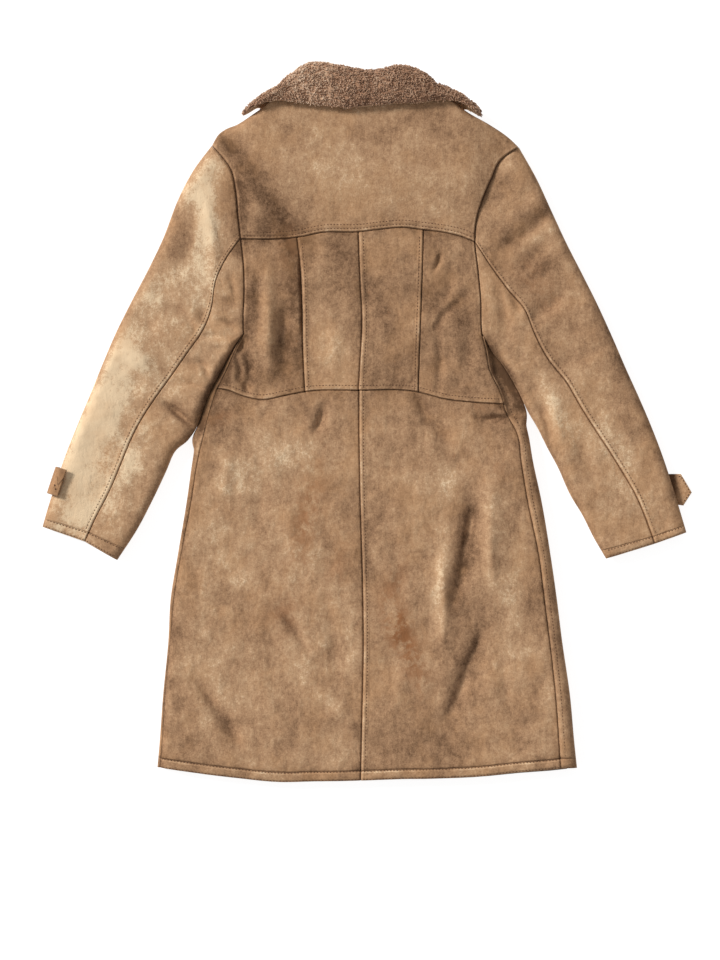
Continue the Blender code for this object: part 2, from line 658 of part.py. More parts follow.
def front_layer(side, plan, share):
    """(outer, inner) points of a front. Its share is above 0 where it has turned up round the edge."""
    x, y = plan[..., 0], plan[..., 1]
    raised = NECK_RAISE * neck_share(x, y)
    top, top_inset = shoulder_turn(x, y, UNDER_ROUND)
    turned = share * top
    past, lift = x - CENTRE_FRONT, lap_lift(x)
    if side.name == "right":
        lap = smoothstep((48 - past) / 20)
        low, high = lift * lap, FRONT_WALL + (LAP_WALL + lift - FRONT_WALL) * lap
    else:
        lap = smoothstep((past + 62) / 22)
        low, high = (LAP_WALL + GAP + lift) * lap, FRONT_WALL + (2 * LAP_WALL + GAP + lift - FRONT_WALL) * lap
    crest = crest_at(x, y) - raised
    ceiling = np.maximum(front_fill(x) + LAYER_GAP, crest - BACK_WALL)
    # At the armhole the front's own wall ends in a straight rim.
    rim = np.where(y < ARMPIT_Y - 1, 1, top_inset > 0)
    middle, inner_middle = between(FRONT_WALL, MIDDLE, rim), between(FRONT_WALL, INNER_MIDDLE, rim)
    up = turned > 0
    outer_z = middle + np.where(up, turned * (crest - middle), turned * (middle - low))
    inner_z = inner_middle + np.where(up, turned * (ceiling - inner_middle), turned * (inner_middle - high))
    inset = np.sqrt(np.clip(1 - share**2, 0, 1)) * np.where(y < ARMPIT_Y, 1, np.abs(share))
    inner_x = x + side.inward * INNER_TURN * side_round(y) * inset
    inner_y = y - INNER_TURN * UNDER_ROUND * top_inset
    inner = np.stack([inside_armholes(inner_x, inner_y), inner_y, raised + inner_z], axis=-1)
    return np.stack([x, y, raised + outer_z], axis=-1), inner


def make_fronts(finish):
    """Both fronts and their hem bands."""
    for name, side in SIDES.items():
        rows, field = front_plan(side)
        high = np.clip((rows - side.yoke) / (rows[-1] - side.yoke), 0, 1)
        sections = [front_section(side, y, line, share) for y, line, share in zip(rows, field, high)]
        plan, share = (np.stack(part) for part in zip(*sections))
        add_wall(f"front_{name}", *front_layer(side, plan, share), finish)
        sections = []
        for up in (0, 0.35, 1):
            y = float(between(side.hem, side.band - HALF_GAP, up))
            fine = np.linspace(0, 1, 161)
            x = between(float(side.edge(y)), side.lap, fine)
            line = hem_y(x) + between(0, BAND - HALF_GAP, up)
            row = np.stack([x, line + (1 - fine) * (y - line[0])], axis=-1)
            sections.append(front_section(side, y, row, 0))
        plan, share = (np.stack(part) for part in zip(*sections))
        add_wall(f"hem_band_front_{name}", *front_layer(side, plan, share), finish)


class Sleeve:
    """One sleeve laid flat: points by how far down it is, from 0 to 1, and in from its outer edge."""

    def __init__(self, name):
        table = SLEEVE_LEFT if name == "left" else SLEEVE_RIGHT
        section = columns(SLEEVE_COLUMNS, table)
        at = np.linspace(0, 1, len(table))
        self.name = name
        self.side = SIDES[name]
        self.lines = [
            [smooth_track(at, section[f"{line}_{axis}"]) for axis in "xy"]
            for line in ("outer", "seam", "inner")
        ]
        centre = self.place(at, self.widths(at)[0])
        self.length = float(np.linalg.norm(np.diff(centre, axis=0), axis=1).sum())

    def at(self, down):
        return [np.stack([x(down), y(down)], axis=-1) for x, y in self.lines]

    def widths(self, down):
        outer, seam, inner = self.at(down)
        first = np.linalg.norm(seam - outer, axis=-1)
        return first, first + np.linalg.norm(inner - seam, axis=-1)

    def place(self, down, distance):
        outer, seam, inner = self.at(down)
        first, whole = self.widths(down)
        on_top = distance < first
        share = np.where(on_top, distance / first, (distance - first) / (whole - first))
        start, end = (np.where(on_top[..., None], a, b) for a, b in ((outer, seam), (seam, inner)))
        point = start + (end - start) * share[..., None]
        tops = [point[1] for point in self.at(0.0)]
        across = [point[0] for point in self.at(0.0)]
        y = np.where(on_top, tops[0] + (tops[1] - tops[0]) * share, tops[1] + (tops[2] - tops[1]) * share)
        straight = np.interp(-y, [-top for top in tops], across)
        sewn = self.side.sewn_armhole(y) - self.side.inward * ARMHOLE_GAP
        near = np.clip(1 - down / 0.3, 0, 1) ** 2
        point[..., 0] += near * (sewn - straight)
        return point


def sleeve_wall(name, sleeve, part, downs, finish, fall=None):
    """A piece of a sleeve: from the back seam round the outer or the inner edge to the front seam."""
    crest = smooth_track((0, 0.5, 1), SLEEVE_CREST)
    outers, inners = [], []
    for i, down in enumerate(downs):
        first, whole = (float(width) for width in sleeve.widths(np.array(down)))
        radius = SLEEVE_ROUND
        if part == "under":
            radius = float(between(SEAM_ROUND, SLEEVE_ROUND, smoothstep(down / 0.22)))
        share_under = FRONT_SEAM if part == "top" else 1 - FRONT_SEAM
        reach = (first if part == "top" else whole - first) - HALF_GAP
        top_run, low_run = (float(run_to(r, radius)) for r in (reach, whole * share_under - HALF_GAP))
        quarter = radius * np.pi / 2
        run = np.concatenate([
            np.linspace(top_run, min(quarter, top_run), 4)[:-1],
            np.linspace(min(quarter, top_run), -quarter, 7),
            -np.linspace(quarter, low_run, 3 if part == "top" else 2)[1:],
        ])
        distance, share = wrapped(run, radius)
        inset = np.sqrt(np.clip(1 - share**2, 0, 1)) * INNER_TURN * radius
        places = (distance, distance + inset)
        if part == "under":
            places = [whole - place for place in places]
        plans = [sleeve.place(np.full(run.shape, down), place) for place in places]
        high = float(crest(down)) + folds_at(plans[0][:, 0], plans[0][:, 1], SLEEVE_FOLDS)
        high = np.maximum(high, FRONT_WALL + LAYER_GAP + FLEECE_MIN) - (fall[i] if fall else 0)
        ceiling = np.maximum(FRONT_WALL + LAYER_GAP, high - BACK_WALL)
        outer_z = MIDDLE + share * np.where(share > 0, high - MIDDLE, MIDDLE)
        inner_reach = np.where(share > 0, ceiling - INNER_MIDDLE, INNER_MIDDLE - FRONT_WALL)
        inner_z = INNER_MIDDLE + share * inner_reach
        outers.append(np.column_stack([plans[0], outer_z]))
        inners.append(np.column_stack([plans[1], inner_z]))
    return add_wall(name, np.stack(outers), np.stack(inners), finish)


def make_sleeves(finish):
    """Two pieces to a sleeve, and the band of each at the cuff."""
    for name in SIDES:
        sleeve = Sleeve(name)
        cuff = 1 - BAND / sleeve.length
        gap = HALF_GAP / sleeve.length
        downs = np.concatenate([[0, 0.04, 0.1], np.linspace(0.17, cuff - gap, 9)])
        bands = (cuff + gap, 1 - 3.0 / sleeve.length, 1.0)
        for part in ("top", "under"):
            sleeve_wall(f"sleeve_{name}_{part}", sleeve, part, downs, finish)
            sleeve_wall(f"cuff_band_{name}_{part}", sleeve, part, bands, finish, fall=(0, 0, BAND_DROP))


class Collar:
    """One band of sheepskin folded over the roll, laid flat as a ring round the neck."""

    def __init__(self):
        self.half = length_of(ROLL_BACK) / 2 - COLLAR_REACH
        self.turned = COLLAR_REACH * np.pi
        self.front = length_of(ROLL_FRONT_LEFT) - COLLAR_REACH
        back = {0: ROLL_BACK, 1: EDGE_BACK, -1: SEWN_BACK}
        left = {0: ROLL_FRONT_LEFT, 1: EDGE_FRONT_LEFT, -1: SEWN_FRONT_LEFT}
        right = {0: ROLL_FRONT_RIGHT, 1: EDGE_FRONT_RIGHT, -1: SEWN_FRONT_RIGHT}
        self.lines = [{key: smooth_line(line) for key, line in part.items()} for part in (back, left, right)]

    def point(self, run, place, layer, bulge):
        """A point: run from the middle of the back round the neck, left below 0, and a row of the section."""
        past = abs(run) - self.half
        angle = np.pi / 2 - np.clip(past / COLLAR_REACH, 0, np.pi)
        distance = COLLAR_REACH - layer * np.cos(angle) + max(-past, past - self.turned, 0)
        end = 1 if place > 0 else -1
        back_share = distance / (2 * (self.half + COLLAR_REACH))
        front_share = distance / (self.front + COLLAR_REACH)
        back, left, right = self.lines
        shares = (
            (back, 1 - back_share if run > 0 else back_share),
            (right if run > 0 else left, front_share),
        )
        found = []
        for lines, share in shares:
            roll = lines[0](share) + np.array([0.0, bulge - ROLL_BULGE])
            found.append(roll + (lines[end](share) - roll) * abs(place))
        plan = found[1] + (found[0] - found[1]) * (1 + np.sin(angle)) / 2
        height = NECK_LEVEL + layer * np.sin(angle) * (1 if angle > 0 else UNDER_SHARE)
        return np.array([*plan, height])


def make_collar(finish):
    collar = Collar()
    turned = collar.half + collar.turned
    side = np.concatenate([
        np.linspace(0, collar.half, 6)[:-1],
        np.linspace(collar.half, turned, 8),
        np.linspace(turned, turned + collar.front, 4)[1:],
    ])
    runs = np.concatenate([-side[::-1], side[1:]])
    rings = [[collar.point(run, *row) for row in COLLAR_SECTION] for run in runs]
    add_loft("collar", rings, COLLAR_SECTION.index(FREE_EDGE) + 1, finish)


def make_buttons(finish):
    """Plain buttons under the lap, flat on the table."""
    for i, y in enumerate(BUTTON_Y):
        mesh = bmesh.new()
        bmesh.ops.create_cone(
            mesh, cap_ends=True, segments=16, radius1=BUTTON_RADIUS * MM, radius2=(BUTTON_RADIUS - 1.0) * MM,
            depth=BUTTON_WALL * MM,
        )
        bmesh.ops.translate(mesh, verts=mesh.verts, vec=(0, 0, BUTTON_WALL * MM / 2))
        made = add_object(f"front_button_{i + 1}", mesh, finish)
        made.location = ((CENTRE_FRONT + BUTTON_LINE) * MM, y * MM, 0)


def make_tabs(finish):
    """The strap end at each cuff."""
    sleeve = Sleeve("left")
    rings = []
    for down in np.linspace(*HOOK_DOWN, 5):
        edge, inner = sleeve.place(np.array([down, down]), np.array([0.0, 20.0]))
        inward = (inner - edge) / np.linalg.norm(inner - edge)
        line = np.array(HOOK, float)
        heading = np.gradient(line, axis=0)
        normal = np.column_stack([-heading[:, 1], heading[:, 0]])
        normal *= TAB_WALL / 2 / np.linalg.norm(normal, axis=1)[:, None]
        shell = np.concatenate([line + normal, (line - normal)[::-1]])
        rings.append([np.array([*(edge + inward * distance), z]) for distance, z in shell])
    add_loft("cuff_tab_left", rings, len(HOOK), finish)
    low = [np.array([x, y, z]) for (x, y), z in zip(STRAP, STRAP_RISE)]
    add_loft("cuff_tab_right", [low, [point + (0, 0, STRAP_WALL) for point in low]], 3, finish)


def main():
    for stale in list(bpy.data.objects):
        bpy.data.objects.remove(stale)
    suede = material("suede", SUEDE, 0.95)
    band = material("suede_band", DARK_SUEDE, 0.95)
    fleece = material("fleece", FLEECE, 1.0)
    horn = material("horn", HORN, 0.4)
    make_back(suede)
    make_yoke(suede)
    make_fronts(suede)
    make_sleeves(suede)
    make_collar(fleece)
    make_tabs(band)
    make_buttons(horn)


main()
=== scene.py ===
"""The looks of a shearling coat laid out flat on a table, back up.

+X is to the wearer's right, +Y towards the collar, +Z up from the table. Tables and sizes are in
millimetres, and the meshes are in metres.

A piece of the coat is a wall of sheepskin: suede outside, fleece inside. Its outer face follows the
cut's base form, and on that come creases, the relief of its seams and a rumple of the hide.
"""

import bpy
import numpy as np
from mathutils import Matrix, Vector


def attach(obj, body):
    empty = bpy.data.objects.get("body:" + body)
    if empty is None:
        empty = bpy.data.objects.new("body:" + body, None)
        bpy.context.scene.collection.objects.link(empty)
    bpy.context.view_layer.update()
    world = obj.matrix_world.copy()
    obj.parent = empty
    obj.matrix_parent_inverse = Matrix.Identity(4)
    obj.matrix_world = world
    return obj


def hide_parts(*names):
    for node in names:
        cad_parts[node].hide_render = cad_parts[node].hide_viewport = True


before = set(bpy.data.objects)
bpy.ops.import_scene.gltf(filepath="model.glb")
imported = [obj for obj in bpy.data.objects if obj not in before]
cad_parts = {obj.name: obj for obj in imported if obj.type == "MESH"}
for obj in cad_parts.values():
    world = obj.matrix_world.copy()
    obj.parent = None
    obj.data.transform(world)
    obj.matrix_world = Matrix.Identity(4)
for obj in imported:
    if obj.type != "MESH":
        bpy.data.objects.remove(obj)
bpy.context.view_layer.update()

MM = 0.001
GAP = 0.3  # between sewn neighbours
HALF_GAP = GAP / 2

# Levels of the body and the sleeves.
FRONT_WALL = 9.0
BACK_WALL = 12.0
LAYER_GAP = 1.2
FLEECE_MIN = 4.5
CREST = 24.0
NECK_CREST = 21.5
SLEEVE_CREST = (24.0, 23.0, 21.0)  # at armhole, elbow and cuff
MIDDLE = 11.0
INNER_MIDDLE = FRONT_WALL + LAYER_GAP / 2
SIDE_ROUND = 15.0
SHOULDER_ROUND = 12.0
SLEEVE_ROUND = 17.0
SEAM_ROUND = 2.0
ARMHOLE_GAP = 0.5
UNDER_ROUND = 12.0
INNER_TURN = 0.6

# Hem and cuff bands, and buttons.
BAND = 14.0
HEM_ROUND = 6.0
RIM_DROP = 4.0  # of the upper side at the rim of a hem or a cuff
BUTTON_RADIUS = 12.0
BUTTON_WALL = 3.0
BUTTON_Y = (330.0, 230.0, 130.0, 30.0)

# The front lap, measured from the centre front line.
CENTRE_FRONT = -8.0
LAP_RIGHT = -35.0
LAP_LEFT = 25.0
LAP_WALL = 4.6
BUTTON_LINE = -5.0
BUTTON_LIFT = 3.3
LAP_TAPER = {"left": (-62.0, 22.0), "right": (48.0, 20.0)}  # where a front's wall thins, and over how far
LAP_START = {"left": -101.0, "right": 84.0}  # x where the closer columns of the lap start

# The neck: how the layers rise over the front half of the collar.
NECK_RAISE = 11.0
NECK_X = -7.0
NECK_Y = (245.0, 350.0)
NECK_HALF = (138.0, 212.0)

# Grids: the steps from a sewn edge inwards, and the cells between.
EDGE_STEPS = np.array((0, 0.3, 0.7, 1.2, 1.8, 2.6, 3.4, 4.2, 5.0, 5.8, 6.6, 7.6, 9.0, 10.6, 12.4))
CELL = 2.6
EDGE_CELLS = 13  # of a wrapped edge
INNER_STEP = 3  # the fleece side keeps every third point

# Under each arm: the y where the body starts to fill out to the sleeve, where it is against it, and
# how deep it dips there.
POCKET_LEFT = (-40.0, -8.0, 7.0)
POCKET_RIGHT = (-6.0, 24.0, 9.5)
UNDERARM_GAP = 0.4
SLEEVE_LEAVES_Y = -60.0  # below it the sleeves are well away

# Body sections from the hem up: the outer edges and the side seams on the upper side.
BODY_COLUMNS = ("y", "edge_left", "seam_left", "seam_right", "edge_right")
BODY = (
    (-510, -297.0, -293.0, 273.0, 298.0),
    (-444, -291.0, -287.0, 269.0, 291.0),
    (-388, -287.0, -284.0, 265.0, 286.0),
    (-304, -279.0, -276.0, 256.0, 274.0),
    (-248, -276.0, -271.0, 249.0, 267.0),
    (-192, -267.0, -262.0, 242.0, 259.0),
    (-108, -253.0, -246.0, 225.0, 245.0),
    (-52, -245.0, -237.0, 216.0, 233.0),
    (-17, -239.0, -229.0, 211.0, 227.0),
    (15, -228.5, -221.0, 195.0, 218.0),
    (43, -217.0, -212.0, 187.0, 202.0),
    (74, -201.0, -197.0, 172.0, 183.0),
    (102, -187.5, -184.5, 167.0, 172.0),
    (124, -174.5, -173.0, 161.0, 162.5),
)
ARMPIT_Y = 124.0

# Armhole seams from the armpit up.
ARMHOLE_LEFT = (
    (-173, 124), (-173.5, 144), (-172, 184), (-173, 224), (-177, 259),
    (-180, 285), (-184, 326), (-192, 357), (-203, 372), (-218, 389),
)
ARMHOLE_RIGHT = (
    (161, 124), (160, 137), (159.5, 169), (155, 218), (151, 253),
    (153, 284), (160, 309), (174, 342), (190, 371), (213, 387),
)

# Lines across and down the back.
HEM = (
    (-297, -483), (-234, -492), (-178, -499), (-122, -504), (-66, -503), (-10, -502),
    (46, -500), (102, -499), (158, -496), (214, -490), (270, -485), (298, -481),
)
WAIST = (
    (-214, 48), (-194, 45), (-176, 38), (-148, 32), (-114, 38), (-88, 43),
    (-11, 45), (70, 43), (109, 33), (152, 28), (191, 26),
)
YOKE = (
    (-177, 257), (-137, 257), (-94, 260), (-63, 266), (-11, 267), (23, 271),
    (52, 273), (77, 270), (109, 266), (134, 260), (151, 253),
)
SHOULDER = (
    (-218, 389), (-210, 403), (-200, 411), (-182, 418), (-155, 435), (-133, 449), (-94, 455), (-7, 459),
    (74, 455), (119, 448), (147, 431), (172, 418), (204, 396), (213, 387),
)
# Points of that table, counted from 0, above the armholes, the darts and the centre back.
SHOULDER_STOPS = (0, 5, 7, 9, 13)
NECK_LEFT = -133.0
NECK_RIGHT = 119.0
DART_LEFT = ((-87, 43), (-90, 110), (-91, 166), (-94, 224), (-98, 260))
CENTRE_BACK = ((-12, 45), (-10, 81), (-7, 138), (-10, 210), (-12, 267))
DART_RIGHT = ((72, 43), (73, 81), (76, 166), (78, 224), (79, 270))
SKIRT_CENTRE = ((-9, -502), (-7, -416), (-5, -306), (-6, -226), (-9, -123), (-11, -13), (-11, 45))
NECKLINE_LEFT = ((-133, 449), (-110, 425), (-70, 400), (-8, 388))
NECKLINE_RIGHT = ((119, 448), (96, 425), (56, 400), (-8, 388))

# Sleeve sections from the armhole to the cuff: outer edge, back seam and inner edge.
SLEEVE_COLUMNS = ("outer_x", "outer_y", "seam_x", "seam_y", "inner_x", "inner_y")
SLEEVE_LEFT = (
    (-218, 389, -177, 259, -175.8, 124),
    (-244, 354, -199, 227, -183, 113),
    (-266, 312, -212, 197, -190, 100),
    (-286, 260, -218, 160, -199, 84),
    (-307, 216, -231, 128, -208, 67),
    (-330, 172, -254, 95, -219, 46),
    (-352, 128, -277, 62, -229, 22),
    (-371, 84, -298, 33, -238.5, -5),
    (-388, 42, -316, 5, -252, -25),
    (-404, 4, -331, -24, -270, -41),
    (-421, -38, -346, -60, -283, -70),
    (-434, -75, -361, -95, -301, -108),
    (-447, -115, -380, -132, -323, -150),
    (-456, -146, -396, -167, -351, -193),
)
SLEEVE_RIGHT = (
    (213, 387, 151, 253, 164.5, 124),
    (238, 343, 174, 218, 169.5, 112),
    (259, 298, 197, 187, 177, 98),
    (280, 253, 221, 158, 190, 82),
    (303, 208, 236, 122, 202, 63),
    (324, 166, 254, 89, 214, 41),
    (345, 120, 279, 57, 226, 16),
    (364, 76, 301, 20, 240, -8),
    (383, 34, 322, -13, 254, -36),
    (400, -6, 343, -45, 269, -64),
    (416, -48, 363, -77, 285, -100),
    (431, -94, 380, -108, 303, -130),
    (441, -127, 394, -142, 318, -160),
    (449, -154, 404, -170, 336, -191),
)
FRONT_SEAM = 0.78  # of a sleeve's width in from its outer edge, on the underside

# The largest folds of the upper side: x and y of both ends, bow of the line between them, half the
# width, and rise, which is below 0 for a trough and above for a ridge.
BODY_FOLDS = (
    (-203, 398, -100, 232, -14, 17, -6.0),
    (-180, 115, -168, 44, 9, 7, -6.5),
    (-150, 215, -140, 90, 4, 17, 4.0),
    (-112, 160, -118, 60, -6, 12, -4.0),
    (150, -95, 116, -255, 9, 15, -7.0),
    (163, -290, 108, -425, 6, 16, -6.0),
    (106, -165, 104, -330, 5, 15, 4.5),
    (178, -75, 182, -215, -5, 18, 4.5),
    (68, 35, 112, -40, 7, 12, -4.0),
    (160, 12, 194, 3, -5, 6, -4.5),
    (-62, 20, -72, -16, 2, 9, -4.0),
    (-242, -355, -180, -450, 5, 12, -4.0),
    (-125, -262, -82, -318, 2, 9, -3.0),
    (118, 215, 104, 170, 3, 8, -3.0),
    (138, 150, 128, 60, 10, 12, -3.5),
)
SLEEVE_FOLDS = (
    (-288, 28, -242, -8, 3, 8, -5.0),
    (-262, 60, -226, 45, 3, 8, -3.0),
    (-232, 172, -214, 118, -3, 11, -3.5),
    (-362, 96, -302, 62, 6, 12, 3.5),
    (-350, 60, -318, 30, 4, 12, -3.0),
    (226, 130, 262, 176, 4, 12, -3.5),
    (246, 60, 286, -66, 5, 11, 3.5),
    (232, 40, 262, -40, 4, 9, -3.0),
    (206, 168, 240, 118, 4, 12, 3.0),
)

# The collar's lines in plan. Each starts at a side edge of the neck.
ROLL_BACK = (
    (-122, 479), (-105, 486), (-90, 496), (-77, 501), (-59, 500.5), (-38, 496.5), (-17, 493),
    (7, 490), (25, 493), (46, 497), (60, 495), (73, 490), (96, 480),
)
EDGE_BACK = (
    (-181, 424), (-168, 434), (-153, 443), (-132, 448), (-94, 446), (-66, 442), (-31, 439),
    (-7, 440), (18, 443), (74, 446), (112, 449), (127, 448), (140, 441), (154, 431), (169, 423),
)
SEWN_BACK = ((-145, 459), (-133, 458), (-94, 459), (-7, 461), (74, 459), (119, 457), (131, 458))
ROLL_FRONT_LEFT = ((-122, 479), (-100, 478), (-72, 456), (-22, 440))
EDGE_FRONT_LEFT = (
    (-181, 424), (-166, 435), (-152, 443), (-140, 438), (-126, 408), (-104, 372), (-70, 354), (-22, 358),
)
SEWN_FRONT_LEFT = ((-145, 459), (-133, 458), (-121, 454), (-106, 431), (-69, 407), (-22, 394))
ROLL_FRONT_RIGHT = ((96, 480), (76, 476), (50, 456), (8, 440))
EDGE_FRONT_RIGHT = (
    (169, 423), (153, 434), (138, 441), (126, 436), (112, 406), (92, 372), (58, 354), (8, 358),
)
SEWN_FRONT_RIGHT = ((131, 458), (119, 457), (107, 454), (92, 431), (55, 408), (8, 395))
NECK_LEVEL = 21.25  # between the two layers of the neck
COLLAR_REACH = 24.0  # of the fall's face from that level
UNDER_SHARE = 0.88  # the lower half is pressed to this share
# Round the collar's section: place from -1 at the neck seam, 0 at the roll, to 1 at the free edge,
# layer out from the neck level, and how far past the roll line's base it bulges.
COLLAR_SECTION = (
    (-1.0, 0.8, 0.0), (-0.5, 0.8, 0.0), (0.0, 0.8, 0.0), (0.0, 3.0, 7.0), (0.0, 9.0, 11.0),
    (0.0, 16.0, 11.0), (0.0, 22.0, 7.0), (0.06, 24.0, 0.0), (0.35, 24.0, 0.0), (0.65, 23.5, 0.0),
    (0.88, 22.0, 0.0),
    (1.0, 18.0, 0.0), (1.0, 13.6, 0.0), (0.6, 13.0, 0.0), (0.2, 13.0, 0.0), (0.0, 12.4, 2.0),
    (-0.15, 11.7, 0.0), (-0.6, 11.7, 0.0), (-1.0, 11.7, 0.0),
)
FREE_EDGE = (1.0, 18.0, 0.0)
ROLL_BULGE = 11.0

# Cuff tabs. The left one hooks over the sleeve's edge: how far in from that edge, and the height.
HOOK = ((-2.5, 3.0), (-5.5, 9.0), (-5.8, 15.0), (-3.5, 21.0), (1.5, 26.0), (10.5, 28.0))
HOOK_DOWN = (0.8225, 0.8945)  # of the sleeve's length
TAB_WALL = 3.0
# The right one is a pointed strap that stands out from under the edge: outline, and rise at its rim.
STRAP = ((422.5, -72.0), (442.0, -72.0), (457.0, -98.0), (445.5, -116.5), (435.5, -115.0))
STRAP_RISE = (0.6, 5.0, 6.5, 4.0, 0.6)
STRAP_WALL = 2.4

# Finer creases and soft swellings of the hide, on top of the largest folds.
BODY_CREASES = (
    (-200, 397, -172, 372, -3, 6, -3.0),
    (-165, 362, -122, 300, -8, 9, -2.2),
    (-118, 300, -101, 232, -3, 8, -2.4),
    (-172, 350, -150, 262, 4, 11, 2.4),
    (-140, 222, -141, 60, 3, 9, 2.4),
    (-113, 165, -114, 58, -3, 8, -2.6),
    (-155, 214, -158, 120, 2, 6, -1.2),
    (-170, 122, -182, 96, 2, 4.5, -3.6),
    (-184, 94, -179, 60, 3, 4.5, -3.6),
    (-180, 62, -165, 42, 2, 4.0, -3.2),
    (146, -118, 136, -182, 3, 6, -2.6),
    (134, -182, 122, -252, 3, 7, -2.2),
    (161, -288, 141, -338, 3, 6, -2.4),
    (140, -338, 112, -414, 4, 7, -2.2),
    (106, -190, 105, -306, 3, 7, 1.6),
    (172, -104, 178, -232, -3, 8, 1.8),
    (150, 13, 168, 2, -2, 4.0, -3.0),
    (166, 3, 196, 6, 3, 4.0, -2.8),
    (184, 26, 222, 10, -4, 4.5, -2.6),
    (190, 14, 222, 24, 3, 5, 1.8),
    (69, 36, 84, 0, 2, 7, -2.4),
    (84, 0, 112, -26, 4, 8, -2.2),
    (103, 238, 93, 212, 2, 3.4, -2.6),
    (95, 130, 132, 172, 4, 5, -2.2),
    (98, 132, 100, 44, 3, 6, -2.0),
    (128, 118, 134, 60, -3, 8, 1.4),
    (-62, 22, -73, -12, 2, 4.5, -2.8),
    (-241, -362, -210, -405, 3, 6, -2.4),
    (-209, -405, -178, -452, 2, 6, -2.2),
    (-123, -262, -84, -318, 2, 6, -2.0),
    (-196, -40, -206, -120, 4, 10, 1.5),
    (-150, -60, -160, -160, 6, 12, -1.4),
    (-110, -90, -96, -190, -6, 10, 1.4),
    (-58, -250, -44, -360, 4, 9, -1.4),
    (-150, -360, -110, -430, -4, 10, 1.3),
    (30, -150, 48, -250, 4, 9, -1.3),
    (52, -330, 30, -420, 4, 10, 1.2),
    (190, -330, 210, -440, -4, 9, -1.3),
    (84, -430, 130, -470, 3, 8, -1.3),
    (-60, 330, -20, 300, 3, 12, -1.2),
    (30, 330, 80, 345, 4, 12, 1.0),
    (110, 320, 140, 290, 3, 9, -1.4),
    (-50, 150, -44, 70, 2, 8, 1.0),
    (30, 190, 44, 120, 3, 10, -1.0),
)
SLEEVE_CREASES = (
    (-283, 26, -241, -8, 2, 4.2, -3.0),
    (-206, 143, -184, 131, 2, 4.0, -2.6),
    (-234, 120, -194, 119, 2, 5.0, -1.8),
    (-200, 172, -184, 165, 1, 4.0, -2.6),
    (-214, 104, -196, 98, 2, 5.0, -1.8),
    (-192, 204, -184, 176, 1, 5.0, -1.6),
    (-252, 84, -220, 78, 3, 5.0, -1.4),
    (-300, 250, -262, 296, 4, 8, -1.2),
    (-330, 150, -290, 120, 4, 8, -1.3),
    (196, 190, 212, 150, 3, 6, -2.0),
    (-262, 58, -228, 44, 2, 4.0, -1.8),
    (-365, 90, -308, 52, 5, 7, -2.2),
    (-350, 112, -300, 74, 5, 8, 1.6),
    (-262, 160, -236, 120, 2, 5, -1.8),
    (-226, 320, -214, 190, 4, 8, 2.0),
    (-246, 300, -258, 220, 3, 10, -1.6),
    (-300, 190, -262, 150, 4, 9, -1.4),
    (-390, 30, -350, -10, 3, 10, 1.4),
    (-372, -60, -410, -30, 3, 9, -1.2),
    (-236, 92, -222, 60, 2, 4.5, -2.2),
    (258, 300, 186, 244, 6, 9, -2.6),
    (252, 330, 206, 290, 5, 10, 1.6),
    (262, 262, 200, 214, 5, 10, -1.4),
    (253, 18, 270, -26, 3, 6, 2.2),
    (243, 24, 256, -30, 3, 5, -2.0),
    (272, 180, 240, 150, 3, 9, -1.5),
    (330, 110, 280, 86, 4, 10, -1.3),
    (350, 40, 372, -20, 4, 12, 1.2),
    (180, 200, 196, 120, 3, 8, -2.4),
    (300, -40, 322, -100, 3, 9, -1.3),
)

